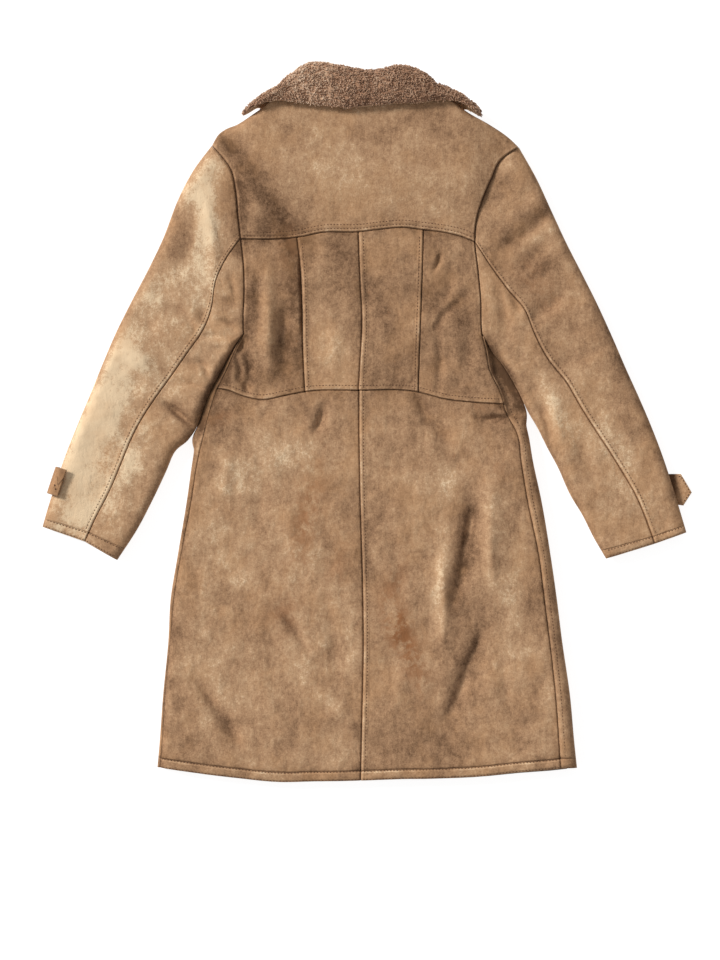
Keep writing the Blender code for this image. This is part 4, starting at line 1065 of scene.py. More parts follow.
def suede_finish(name, darker=0.0):
    """Brushed suede: clouded and mottled tan with pale places of wear and the painted light and shade of its
    tone, rust marks and a short matt nap.
    """
    finish = Finish(name, 0.95, Sheen_Weight=0.06, Sheen_Roughness=0.6, Specular_IOR_Level=0.15)
    finish.shader.inputs["Sheen Tint"].default_value = (*SAND, 1)
    place, cut = finish.place(), finish.field("cut")
    clouds = finish.noise(place, 95, 3, cut, 0.6)
    mottle = finish.noise(place, 27, 7, cut, 0.68)
    brushed = finish.noise(place, 14, 6, cut, 0.7, (1.0, 0.45, 1.0))
    nap = finish.noise(place, 5.0, 5, cut, 0.7)
    grain = finish.noise(place, 1.6, 2)
    wrinkles = finish.noise(place, 4.5, 3, cut, 0.6, (1.0, 0.28, 1.0))
    tone = 0.48 - darker + finish.field("tone") * 0.5 + (clouds - 0.5) * 0.8
    tone = tone + (mottle - 0.5) * 0.85 + (brushed - 0.5) * 0.7 + (nap - 0.5) * 0.85 + (grain - 0.5) * 0.55
    hide = finish.ramp(tone, (0.0, SOOTY), (0.25, BROWN), (0.52, TAN), (0.74, SAND), (1.0, CREAM))
    flecks = finish.noise(place, 13, 4, cut, 0.7).step(0.64, 0.74) * 0.35
    marks = finish.field("stain") * finish.noise(place, 17, 5, cut, 0.72).step(0.40, 0.56)
    warm = finish.noise(place, 60, 4, cut, 0.65).step(0.45, 0.65) * 0.25
    finish.colour(finish.mix(marks + flecks, finish.mix(warm, hide, AMBER), RUST))
    finish.bump(nap * 0.8 + grain * 0.3 + mottle * 1.6 + brushed * 1.2 + wrinkles * 0.6, 0.75, 1.0)
    return finish.material


def fleece_finish(name):
    """Clipped brown fleece, paler towards the tips of its curls, with painted light from its tip field."""
    finish = Finish(name, 1.0, Sheen_Weight=0.25, Sheen_Roughness=0.5, Specular_IOR_Level=0.15)
    place = finish.place()
    clumps, fibres = finish.noise(place, 7, 3), finish.noise(place, 1.2, 3)
    tips = finish.field("tip") * 0.75 + (clumps - 0.5) * 0.9 + (fibres - 0.5) * 0.5
    finish.colour(finish.ramp(tips, (0.0, (0.200, 0.100, 0.056)), (0.4, (0.400, 0.225, 0.135)),
                              (0.75, (0.600, 0.395, 0.255)), (1.0, (0.800, 0.610, 0.450))))
    finish.bump(clumps + fibres * 0.5, 0.6, 0.8)
    return finish.material


def lining_finish(name):
    """The coat's own fleece between its layers."""
    finish = Finish(name, 1.0, Specular_IOR_Level=0.1)
    place = finish.place()
    curls = finish.noise(place, 3.5, 3)
    finish.colour(finish.ramp(curls, (0.3, (0.16, 0.10, 0.065)), (0.7, (0.42, 0.31, 0.22))))
    finish.bump(curls, 0.7, 1.5)
    return finish.material


def thread_finish(name):
    finish = Finish(name, 0.8, Specular_IOR_Level=0.3)
    fibres = finish.noise(finish.place(), 0.9, 2)
    finish.colour(finish.ramp(fibres, (0.3, (0.060, 0.026, 0.013)), (0.7, (0.150, 0.068, 0.036))))
    return finish.material


def horn_finish(name):
    finish = Finish(name, 0.35, Coat_Weight=0.2)
    streaks = finish.noise(finish.place(), 6, 4, stretch=(1.0, 0.25, 1.0))
    finish.colour(finish.ramp(streaks, (0.35, (0.030, 0.016, 0.010)), (0.7, (0.140, 0.075, 0.040))))
    finish.bump(streaks, 0.15, 0.3)
    return finish.material


SUEDE = suede_finish("suede")
TRIM = suede_finish("suede_trim", darker=0.05)
FLEECE = fleece_finish("fleece")
LINING = lining_finish("lining_fleece")
THREAD = thread_finish("thread")
HORN = horn_finish("horn")


def keep(made, slot, *nodes):
    """Every piece rides on the coat and stands for its nodes. The slot is not used."""
    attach(made, "root")
    if nodes:
        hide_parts(*nodes)
    return made


def cloth(node, outer, inner, fields, trim=False):
    """A sewn piece of sheepskin."""
    finishes = (TRIM if trim else SUEDE, LINING)
    made = make_wall(f"{node}_hide", outer, inner, fields, finishes)
    keep(made, "suede_trim" if trim else "suede", node)


# How each hide differs in tone from the rest.
HIDE_TONES = {
    "yoke": -0.11, "back_side_left": -0.12, "back_centre_left": -0.04, "back_centre_right": -0.14,
    "back_side_right": -0.04, "skirt_back_left": 0.15, "skirt_back_right": 0.02, "front_left": 0.0,
    "front_right": 0.08, "sleeve_left_top": 0.34, "sleeve_left_under": 0.40, "sleeve_right_top": 0.05,
    "sleeve_right_under": 0.20, "cuff_band_left_top": 0.35, "cuff_band_left_under": 0.25,
    "cuff_band_right_top": 0.2, "cuff_band_right_under": 0.2, "hem_band_back_left": 0.1,
    "hem_band_back_right": 0.12,
}


def hide_fields(node, points, crest, shade=0.0):
    """What the suede reads at its points: tone with its painted light and shade, stain, and a number of each
    cut's own for its clouding.
    """
    x, y, z = points[..., 0], points[..., 1], points[..., 2]
    order = sorted(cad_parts).index(node)
    upper = smoothstep((z - 4) / 7)
    return {
        "tone": upper * (tone_of(x, y, z, crest) + HIDE_TONES.get(node, 0.0) + shade),
        "stain": upper * np.clip(patches_at(x, y, STAINS), 0, 1),
        "cut": float(order) * 1.7,
    }


def back_cloth(node, plan, trim=False):
    """A piece of the back over its plan points."""
    outer, inner = back_layer(plan)
    # The seams' pale folds, partly wear and partly painted highlight, and their painted shade.
    rubbed_and_shaded = sum(seam.rub_and_shade(outer[..., 0], outer[..., 1]) for seam in BODY_SEAMS)
    fields = hide_fields(node, outer, CREST, rubbed_and_shaded)
    cloth(node, outer, inner, fields, trim)


def back_panel(node, lines, ends, trim=False):
    """A piece of the back: lines climb on its left and right, each with the y where it starts and stops."""
    (left, left_low, left_high), (right, right_low, right_high) = lines
    bottom, top = ends
    height = left_high - left_low
    across = graded(float(right(right_low) - left(left_low)), CELL)
    up = graded(height, CELL)
    left_points = climbing(left, between(left_low + HALF_GAP, left_high - HALF_GAP, up), HALF_GAP)
    right_points = climbing(right, between(right_low + HALF_GAP, right_high - HALF_GAP, up), -HALF_GAP)
    low_x, high_x = (between(left_points[k, 0], right_points[k, 0], across) for k in (0, -1))
    bottom_points, top_points = crossing(bottom, low_x, HALF_GAP), crossing(top, high_x, -HALF_GAP)
    plan = coons(left_points, right_points, bottom_points, top_points, across, up)
    back_cloth(node, plan, trim)


def make_back():
    """The skirt's two panels, the four above the waist, and the hem bands of the back."""
    centre_span = (centre_back, meeting(centre_back, waist_y, 45), meeting(centre_back, yoke_y, 267))
    hem_centre, band_centre, waist_centre = (
        meeting(skirt_centre, line, -490) for line in (hem_y, band_y, waist_y)
    )
    for name, side in SIDES.items():
        dart = dart_left if name == "left" else dart_right
        dart_span = (dart, meeting(dart, waist_y, 43), meeting(dart, yoke_y, 265))
        panels = (
            ("hem_band_back", (side.seam, side.hem, side.band), (skirt_centre, hem_centre, band_centre)),
            ("skirt_back", (side.seam, side.band, side.waist), (skirt_centre, band_centre, waist_centre)),
            ("back_side", (side.above(side.seam), side.waist, side.yoke), dart_span),
            ("back_centre", dart_span, centre_span),
        )
        ends = ((hem_y, band_y), (band_y, waist_y), (waist_y, yoke_y), (waist_y, yoke_y))
        for (kind, outer, inner), end in zip(panels, ends):
            lines = (outer, inner) if name == "left" else (inner, outer)
            back_panel(f"{kind}_{name}", lines, end, trim=kind == "hem_band_back")


def make_yoke():
    """The yoke, from the seam across the back up to the shoulders and the neck."""
    first, last = (float(side.armhole(side.yoke)) for side in (LEFT, RIGHT))
    stops = (first, dart_left(262), centre_back(267), dart_right(270), last)
    across = graded(last - first, CELL)
    low_x = between(first + HALF_GAP, last - HALF_GAP, across)
    top_x = shoulder_x(smooth_track(stops, SHOULDER_STOPS)(low_x))
    bottom, top = crossing(yoke_y, low_x, HALF_GAP), crossing(shoulder_y, top_x, -HALF_GAP)
    up = graded(LEFT.shoulder_end[1] - LEFT.yoke, CELL)
    edges = []
    for side in (LEFT, RIGHT):
        rows = between(side.yoke, side.shoulder_end[1] - HALF_GAP, up)
        edges.append(climbing(side.armhole, rows, side.inward * HALF_GAP))
    for line, row in ((bottom, 0), (top, -1)):
        line[0], line[-1] = edges[0][row], edges[1][row]
    back_cloth("yoke", coons(*edges, bottom, top, across, up))


# Points of a front: columns between its turned edge and its lap, columns of the lap, and on a fine line.
FRONT_FLAT = 26
FRONT_LAP = 46
FINE = np.linspace(0, 1, 161)
BAND_ROWS = 12


def front_plan(side):
    """The rows of a front as fine lines of plan points from its outer edge to its lap."""
    skirt_up, middle_up, yoke_up = np.linspace(0, 1, 130), np.linspace(0, 1, 61), np.linspace(0, 1, 46)
    rows = np.concatenate([
        between(side.band + HALF_GAP, side.waist, skirt_up),
        between(side.waist, side.yoke, middle_up)[1:],
        between(side.yoke, side.shoulder_end[1] - HALF_GAP, yoke_up)[1:],
    ])
    lap = side.lap
    waist, yoke = float(waist_y(lap)), float(yoke_y(lap))
    centre = np.concatenate([
        between(float(band_y(lap)) + HALF_GAP, waist, skirt_up),
        between(waist, yoke, middle_up)[1:],
        between(yoke, float(side.neckline(lap)) - HALF_GAP, yoke_up)[1:],
    ])
    edge = climbing(side.above(side.filled), rows)
    low_x, high_x = between(edge[0, 0], lap, FINE), between(edge[-1, 0], lap, FINE)
    on_shoulder = (high_x - side.neck_x) * side.inward < 0
    high_y = np.where(on_shoulder, shoulder_y(high_x), side.neckline(high_x)) - HALF_GAP
    top = np.stack([high_x, high_y], axis=-1)
    top[0] = edge[-1]
    centre_points = np.stack([np.full(len(centre), lap), centre], axis=-1)
    bottom = crossing(band_y, low_x, HALF_GAP)
    up = (rows - rows[0]) / (rows[-1] - rows[0])
    return rows, coons(edge, centre_points, bottom, top, FINE, up)


def front_section(side, y, line, high_share):
    """Plan points and shares of a front's section: from the side seam round the edge and in to the lap."""
    radius = float(side_round(y))
    quarter = radius * np.pi / 2
    if y < ARMPIT_Y:
        reach = max(side.inward * float(side.seam(y) - side.filled(y)) - HALF_GAP, HALF_GAP)
        over = np.linspace(float(run_to(reach, radius)), 0, EDGE_CELLS)
        run = np.concatenate([over, -np.linspace(0, quarter, EDGE_CELLS)[1:]])
    else:
        run = -np.linspace(0, quarter, 2 * EDGE_CELLS - 1)
    distance, share = wrapped(run, radius)
    turned_x = line[0, 0] + side.inward * distance
    shares = np.arange(1, FRONT_FLAT + 1)
    stops = SHOULDER_STOPS[::side.inward]
    shoulder = shoulder_x(between(stops[0], stops[1], shares / FRONT_FLAT))
    top_start = side.shoulder_end[0] + side.inward * SEAM_ROUND
    shoulder = (shoulder - top_start) / (side.lap_start - top_start)
    flat = shares / (FRONT_FLAT + 1)
    flat_x = between(turned_x[-1], side.lap_start, flat + (shoulder - flat) * high_share)
    lap_x = np.linspace(side.lap_start, side.lap, FRONT_LAP)[1:]
    x = np.concatenate([turned_x, flat_x, lap_x])
    share = np.concatenate([share, np.full(len(x) - len(run), -1.0)])
    order = slice(None, None, side.inward)
    along = np.interp(x, line[order, 0], line[order, 1])
    return np.stack([x, np.where(share >= 0, y, along)], axis=-1), share


def under_relief(x, y):
    """How far the hide of the underside stands off the table, in soft hollows."""
    hollow = np.maximum(SWELL(x + 900, y), 0) * 1.4 + np.maximum(DIMPLE(x + 900, y), 0) * 0.5
    return hollow + 0.3 * (1 - np.abs(CREPE(x + 900, y))) ** 6


def front_layer(side, plan, share, band=False):
    """(outer, inner) points of a front. Its share is above 0 where it has turned up round the edge."""
    x, y = plan[..., 0], plan[..., 1]
    raised = NECK_RAISE * neck_share(x, y)
    top, top_inset = shoulder_turn(x, y, UNDER_ROUND)
    turned = share * top
    taper_at, taper_over = side.lap_taper
    lap = smoothstep(side.inward * (x - CENTRE_FRONT - taper_at) / taper_over)
    floor = side.lap_floor + lap_lift(x)
    high = FRONT_WALL + (floor + LAP_WALL - FRONT_WALL) * lap
    low = floor * lap + under_relief(x, y) * (1 - lap) * smoothstep(-share * 2 - 0.6)
    crest = crest_at(x, y) - raised
    ceiling = np.maximum(front_fill(x) + LAYER_GAP, crest - BACK_WALL)
    # At the armhole the front's own wall ends in a straight rim.
    rim = np.where(y < ARMPIT_Y - 1, 1, top_inset > 0)
    middle, inner_middle = between(FRONT_WALL, MIDDLE, rim), between(FRONT_WALL, INNER_MIDDLE, rim)
    up = turned > 0
    dip = side.hollow(x, y)
    outer_z = middle + np.where(up, turned * (crest - dip - middle), turned * (middle - low))
    if band:
        outer_z -= np.where(up, RIM_DROP * turned * (1 - hem_share(x, y)), 0)
    over_inner = np.minimum(ceiling, crest - dip - 1.2) - inner_middle
    inner_z = inner_middle + np.where(up, turned * over_inner, turned * (inner_middle - high))
    inset = np.sqrt(np.clip(1 - share**2, 0, 1)) * np.where(y < ARMPIT_Y, 1, np.abs(share))
    inner_x = x + side.inward * INNER_TURN * side_round(y) * inset
    inner_y = y - INNER_TURN * UNDER_ROUND * top_inset
    inner = np.stack([inside_armholes(inner_x, inner_y), inner_y, raised + inner_z], axis=-1)
    return np.stack([x, y, raised + outer_z], axis=-1), inner


def front_cloth(side, node, sections, band=False):
    """A front or its hem band, from its sections."""
    plan, share = (np.stack(part) for part in zip(*sections))
    outer, inner = front_layer(side, plan, share, band)
    shade = -0.06 * side.hollow(plan[..., 0], plan[..., 1]) * (share > 0)
    crest = np.where(share > 0, CREST, outer[..., 2])
    cloth(node, outer, inner, hide_fields(node, outer, crest, shade), band)


def make_fronts():
    """Both fronts and their hem bands."""
    for name, side in SIDES.items():
        rows, field = front_plan(side)
        high = np.clip((rows - side.yoke) / (rows[-1] - side.yoke), 0, 1)
        sections = [front_section(side, y, line, share) for y, line, share in zip(rows, field, high)]
        front_cloth(side, f"front_{name}", sections)
        sections = []
        for up in np.linspace(0, 1, BAND_ROWS):
            y = float(between(side.hem, side.band - HALF_GAP, up))
            x = between(float(side.edge(y)), side.lap, FINE)
            line_y = hem_y(x) + between(0, BAND - HALF_GAP, up)
            line_y = line_y + (1 - FINE) * (y - line_y[0])
            sections.append(front_section(side, y, np.stack([x, line_y], axis=-1), 0))
        front_cloth(side, f"hem_band_front_{name}", sections, band=True)


CUFF_ROWS = (BAND - 1.4, 2.2)  # of stitching, from the sleeve's end


class Sleeve:
    """One sleeve laid flat: points by how far down it is, from 0 to 1, and in from its outer edge."""

    ROW = 5.5  # of stitching, from the back seam

    def __init__(self, name):
        table = SLEEVE_LEFT if name == "left" else SLEEVE_RIGHT
        section = columns(SLEEVE_COLUMNS, table)
        at = np.linspace(0, 1, len(table))
        self.name = name
        self.side = SIDES[name]
        self.lines = [
            [smooth_track(at, section[f"{line}_{axis}"]) for axis in "xy"]
            for line in ("outer", "seam", "inner")
        ]
        centre = self.place(at, self.widths(at)[0])
        self.length = float(np.linalg.norm(np.diff(centre, axis=0), axis=1).sum())
        self.cuff = 1 - BAND / self.length
        self.crest = smooth_track((0, 0.5, 1), SLEEVE_CREST)

    def at(self, down):
        """Points on the outer edge, the back seam and the inner edge."""
        return [np.stack([x(down), y(down)], axis=-1) for x, y in self.lines]

    def widths(self, down):
        """From the outer edge to the back seam, and to the inner edge."""
        outer, seam, inner = self.at(down)
        first = np.linalg.norm(seam - outer, axis=-1)
        return first, first + np.linalg.norm(inner - seam, axis=-1)

    def place(self, down, distance):
        """Plan points. Near the armhole they lean to the armhole's curve."""
        outer, seam, inner = self.at(down)
        first, whole = self.widths(down)
        on_top = distance < first
        share = np.where(on_top, distance / first, (distance - first) / (whole - first))
        start, end = (np.where(on_top[..., None], a, b) for a, b in ((outer, seam), (seam, inner)))
        point = start + (end - start) * share[..., None]
        across, tops = zip(*self.at(0.0))
        y = np.where(on_top, tops[0] + (tops[1] - tops[0]) * share, tops[1] + (tops[2] - tops[1]) * share)
        straight = np.interp(-y, [-top for top in tops], across)
        sewn = self.side.armhole(y) - self.side.inward * ARMHOLE_GAP
        near = np.clip(1 - down / 0.3, 0, 1) ** 2
        point[..., 0] += near * (sewn - straight)
        return point

    def relief(self, x, y, down, distance):
        """What the back seam, the armhole, the cuff's band and the creases add to the upper side."""
        first, _ = self.widths(down)
        over, along = first - distance, down * self.length
        height = CREASE_DEPTH * folds_at(x, y, SLEEVE_CREASES) + rumple(x, y)
        height += seam_height(along, over, (self.ROW,), 0.8, SEAM_DEPTH, 10.0)
        height -= 2.0 * bell(along, 1.3) + 2.2 * np.exp(-along / 12)
        to_end = (1 - down) * self.length
        height -= bell(to_end - BAND, 1.0)
        height -= sum(0.5 * bell(to_end - row, DENT_WIDTH) for row in CUFF_ROWS)
        return height - RIM_DROP * (1 - turn(np.maximum(to_end, 0), HEM_ROUND)[0])

    def upper(self, down, distance, share=1.0):
        """(x, y, z) on the upper side."""
        point = self.place(down, distance)
        x, y = point[..., 0], point[..., 1]
        high = self.crest(down) + folds_at(x, y, SLEEVE_FOLDS)
        high = np.maximum(high, FRONT_WALL + LAYER_GAP + FLEECE_MIN) + self.relief(x, y, down, distance)
        return np.stack([x, y, MIDDLE + share * (high - MIDDLE)], axis=-1)


def sleeve_piece(sleeve, part, node, downs, trim=False):
    """A piece of a sleeve: from the back seam round the outer or the inner edge to the front seam."""
    on_top = part == "top"
    middle = float(sleeve.widths(np.array(0.5))[0])
    over_shares = graded(2 * middle, CELL * 2)
    over_shares = over_shares[over_shares <= 0.5] * 2
    outers, inners, crests, rubs_and_shades = [], [], [], []
    for down in downs:
        first, whole = (float(width) for width in sleeve.widths(np.array(down)))
        radius = SLEEVE_ROUND
        if not on_top:
            radius = float(between(SEAM_ROUND, SLEEVE_ROUND, smoothstep(down / 0.22)))
        over_reach = first if on_top else whole - first
        under_reach = whole * (FRONT_SEAM if on_top else 1 - FRONT_SEAM)
        top_run, low_run = (float(run_to(reach - HALF_GAP, radius)) for reach in (over_reach, under_reach))
        quarter = radius * np.pi / 2
        bend = min(quarter, top_run)
        run = np.concatenate([
            top_run - over_shares * (top_run - bend),
            np.linspace(bend, -quarter, 2 * EDGE_CELLS)[1:],
            -np.linspace(quarter, low_run, 20 if on_top else 8)[1:],
        ])
        distance, share = wrapped(run, radius)
        inset = np.sqrt(np.clip(1 - share**2, 0, 1)) * INNER_TURN * radius
        outer_at, inner_at = distance, distance + inset
        if not on_top:
            outer_at, inner_at = whole - outer_at, whole - inner_at
        here = np.full(run.shape, down)
        x, y, high = sleeve.upper(here, outer_at).T
        low = under_relief(x, y) * smoothstep(-share * 2 - 0.6)
        ceiling = np.maximum(FRONT_WALL + LAYER_GAP, high - BACK_WALL)
        outer_z = MIDDLE + share * np.where(share > 0, high - MIDDLE, MIDDLE - low)
        inner_rise = np.where(share > 0, ceiling - INNER_MIDDLE, INNER_MIDDLE - FRONT_WALL)
        outers.append(np.column_stack([x, y, outer_z]))
        inners.append(np.column_stack([sleeve.place(here, inner_at), INNER_MIDDLE + share * inner_rise]))
        crests.append(np.where(share > 0, sleeve.crest(down), outer_z))
        # The back seam's pale fold, partly wear and partly painted highlight, and its painted shade.
        rubs_and_shades.append(np.where(share > 0, worn_edge_and_shade(x, y, first - outer_at), 0))
    outer, inner = np.stack(outers), np.stack(inners)
    cloth(node, outer, inner, hide_fields(node, outer, np.stack(crests), np.stack(rubs_and_shades)), trim)


def make_sleeves():
    """Two pieces to a sleeve, and the band of each at the cuff."""
    for name in SIDES:
        sleeve = Sleeve(name)
        gap = HALF_GAP / sleeve.length
        downs = graded(sleeve.length - BAND, CELL) * (sleeve.cuff - gap)
        bands = np.linspace(sleeve.cuff + gap, 1.0, BAND_ROWS)
        for part in ("top", "under"):
            sleeve_piece(sleeve, part, f"sleeve_{name}_{part}", downs)
            sleeve_piece(sleeve, part, f"cuff_band_{name}_{part}", bands, trim=True)


# Rows of stitching: dark thread in short stitches, sunk in the hide.
STITCH_PITCH = 4.6
STITCH_LONG = 2.9
STITCH_WIDTH = 0.55
STITCH_RINGS = (-0.5, -0.28, 0.28, 0.5)  # along a stitch, from its middle
STITCH_RISE = (-0.75, 0.12, 0.12, -0.75)


def stitch(name, lines):
    """Rows of stitches, each through a line of close points."""
    groups = []
    for line in lines:
        run = np.concatenate([[0], np.cumsum(np.linalg.norm(np.diff(line, axis=0), axis=1))])
        starts = np.arange(STITCH_PITCH / 2, run[-1] - STITCH_PITCH / 2, STITCH_PITCH)
        at = starts[:, None] + np.array(STITCH_RINGS) * STITCH_LONG
        groups.append(np.stack([np.interp(at, run, line[:, k]) for k in range(3)], axis=-1))
    centres = np.concatenate(groups)
    centres[:, :, 2] += STITCH_RISE
    widths = np.full((len(centres), 2), STITCH_WIDTH)
    made = make_tubes(name, centres, widths, 6, {}, (THREAD,))
    return keep(made, "suede_trim")


def body_height(x, y):
    return back_layer(np.stack([x, y], axis=-1))[0][..., 2]


def seam_row(seam, distance, low, high):
    """Points along a row beside a seam of the body, on the hide."""
    at = np.arange(low, high, 0.5)
    slope = (seam.line(at + 1) - seam.line(at - 1)) / 2
    size = np.hypot(1, slope)
    aside = distance * seam.pressed
    over, along = seam.line(at) + aside / size, at - aside * slope / size
    x, y = (over, along) if seam.climbs else (along, over)
    return np.column_stack([x, y, body_height(x, y)])


def sleeve_row(sleeve, down, distance):
    """Points on the upper side of a sleeve."""
    down, distance = np.broadcast_arrays(np.asarray(down, float), np.asarray(distance, float))
    share = wrapped(run_to(distance, SLEEVE_ROUND), SLEEVE_ROUND)[1]
    return sleeve.upper(down, distance, share)


def make_stitching():
    """The rows of topstitching on the upper side, the welt inside each armhole, and the strips of painted
    shade in the hollows below them.
    """
    body_rows = {
        "yoke": [(YOKE_SEAM, float(LEFT.armhole(262)) + 3, float(RIGHT.armhole(262)) - 3)],
        "waist": [(WAIST_SEAM, float(LEFT.seam(LEFT.waist)) + 3, float(RIGHT.seam(RIGHT.waist)) - 3)],
        "panels": [(DART_LEFT_SEAM, 46, 255), (CENTRE_BACK_SEAM, 48, 263), (DART_RIGHT_SEAM, 46, 266)],
        "skirt": [(SKIRT_SEAM, -488, 40)],
        "side": [(SIDE_SEAM_RIGHT, RIGHT.band + 2, 20)],
        "hem": [(HEM_SEAM, float(LEFT.seam(LEFT.hem)) + 2, float(RIGHT.seam(RIGHT.hem)) - 2)],
    }
    for name, seams in body_rows.items():
        lines = [seam_row(seam, row, low, high) for seam, low, high in seams for row in seam.rows]
        stitch(f"stitches_{name}", lines)
    for name in SIDES:
        make_welts_and_shade_strips(name)
        sleeve = Sleeve(name)
        down = np.linspace(0.01, sleeve.cuff - 0.004, 1500)
        rows = [sleeve_row(sleeve, down, sleeve.widths(down)[0] - Sleeve.ROW)]
        for from_end in CUFF_ROWS:
            down = 1 - from_end / sleeve.length
            whole = float(sleeve.widths(np.array(down))[1])
            rows.append(sleeve_row(sleeve, down, np.linspace(4, whole - 4, 500)))
        stitch(f"stitches_sleeve_{name}", rows)


WELT_RADIUS = 1.9
WELT_LEVELS = (7.0, 16.5)  # at the armpit, and over most of the armhole


def make_welts_and_shade_strips(name):
    """The sewn edges of hide inside an armhole's seam as a dark tube, which also paints shade into the
    seam's gap, and a dark strip of painted shade down the hollow below it.
    """
    side = SIDES[name]
    y = np.linspace(ARMPIT_Y + 1.5, side.shoulder_end[1] - 7, 120)
    rise = between(*WELT_LEVELS, smoothstep((y - ARMPIT_Y) / 12)) - 5 * smoothstep((y - y[-1] + 22) / 22)
    low_y = np.linspace(side.pocket[1] + 2, ARMPIT_Y - 1, 80)
    low_x = side.filled(low_y) - side.inward * 0.3
    welts_and_shade_strip = {
        "armhole": np.column_stack([side.armhole(y) - side.inward * 0.25, y, rise]),
        # A dark strip of painted shade in the crevice between the body's edge and the sleeve.
        "side": np.column_stack([low_x, low_y, np.full(len(low_y), MIDDLE - 3.5)]),
    }
    for kind, line in welts_and_shade_strip.items():
        widths = np.full((1, len(line) - 2), WELT_RADIUS)
        keep(make_tubes(f"{kind}_welt_{name}", line[None], widths, 8, {}, (THREAD,)), "suede_trim")


FALL_FULLER = {"left": 6.5, "right": 10.5}  # of the fall, at the sides of the neck


class Collar:
    """One band of sheepskin folded over the roll, laid flat as a ring round the neck."""

    def __init__(self):
        self.half = length_of(ROLL_BACK) / 2 - COLLAR_REACH
        self.turned = COLLAR_REACH * np.pi
        self.front = length_of(ROLL_FRONT_LEFT) - COLLAR_REACH
        back = {0: ROLL_BACK, 1: EDGE_BACK, -1: SEWN_BACK}
        left = {0: ROLL_FRONT_LEFT, 1: EDGE_FRONT_LEFT, -1: SEWN_FRONT_LEFT}
        right = {0: ROLL_FRONT_RIGHT, 1: EDGE_FRONT_RIGHT, -1: SEWN_FRONT_RIGHT}
        self.lines = [
            {key: smooth_line(line) for key, line in part.items()} for part in (back, left, right)
        ]

    def points(self, run, place, layer, bulge):
        """Points: runs from the middle of the back round the neck, left below 0, and rows of the section."""
        past = np.abs(run) - self.half
        angle = np.pi / 2 - np.clip(past / COLLAR_REACH, 0, np.pi)
        distance = COLLAR_REACH - layer * np.cos(angle)
        distance = distance + np.maximum(np.maximum(-past, past - self.turned), 0)
        back_share = distance / (2 * (self.half + COLLAR_REACH))
        back_share = np.where(run > 0, 1 - back_share, back_share)
        front_share = distance / (self.front + COLLAR_REACH)
        back, left, right = self.lines
        lift = np.stack([0 * bulge, bulge - ROLL_BULGE], axis=-1)
        turning = smoothstep(1 - np.abs(np.clip(past, -60, 2 * self.turned) - self.turned / 2) / 75)
        width = np.where(run > 0, FALL_FULLER["right"], FALL_FULLER["left"])
        held = np.clip(place, 0, 1)
        amount = width * turning * 4 * held * (1 - held)
        fuller = np.stack([np.where(run > 0, 0.62, -0.62) * amount, 0.78 * amount], axis=-1)

        def laid(lines, share):
            roll = lines[0](share) + lift
            end = np.where(place[..., None] > 0, lines[1](share), lines[-1](share))
            return roll + (end - roll) * np.abs(place)[..., None] + fuller

        on_back = laid(back, back_share)
        on_front = np.where((run > 0)[..., None], laid(right, front_share), laid(left, front_share))
        plan = on_front + (on_back - on_front) * ((1 + np.sin(angle)) / 2)[..., None]
        height = NECK_LEVEL + layer * np.sin(angle) * np.where(angle > 0, 1, UNDER_SHARE)
        return np.concatenate([plan, height[..., None]], axis=-1)


CURLS, FLUFF, CURL_X, CURL_Y = Cloud(31, 4.6), Cloud(32, 2.2), Cloud(33, 8.0), Cloud(34, 8.0)
COLLAR_CELL = 1.5
FALL_WIDTH = 52.0  # about the fall's, from the roll to its free edge
HIDE_FROM = 12  # the section's first row on the hide side
TUFTS = 8200
TUFT_SIDES = 4
TUFT_RISE = (-0.8, 0.3, 1.5, 2.2, 2.6)  # of a tuft's centres, over the fleece
TUFT_BEND = (0.0, 0.1, 0.9, 2.1, 3.4)
TUFT_WIDTHS = (0.75, 0.68, 0.42)
TUFT_TIPS = (0.1, 0.45, 0.75)


def section_rows():
    """(place, layer, bulge) close together round the collar's section, and the table's row each is past."""
    closed = np.array([*COLLAR_SECTION, COLLAR_SECTION[0]], float)
    steps = np.linalg.norm(np.diff(closed * (FALL_WIDTH, 1, 1), axis=0), axis=1)
    rows, past = [], []
    for k, step in enumerate(steps):
        count = max(1, round(step / COLLAR_CELL))
        for share in np.arange(count) / count:
            rows.append(closed[k] + (closed[k + 1] - closed[k]) * share)
            past.append(k)
    return np.array(rows), np.array(past)


def outward_normals(grid):
    """The normals of the collar's grid, whose columns go round its section."""
    along = np.gradient(grid, axis=0)
    around = np.roll(grid, -1, axis=1) - np.roll(grid, 1, axis=1)
    normal = np.cross(along, around)
    normal /= np.maximum(np.linalg.norm(normal, axis=-1), 1e-9)[..., None]
    middle = grid.shape[0] // 2
    top = int(np.argmax(grid[middle, :, 2]))
    return normal if normal[middle, top, 2] > 0 else -normal


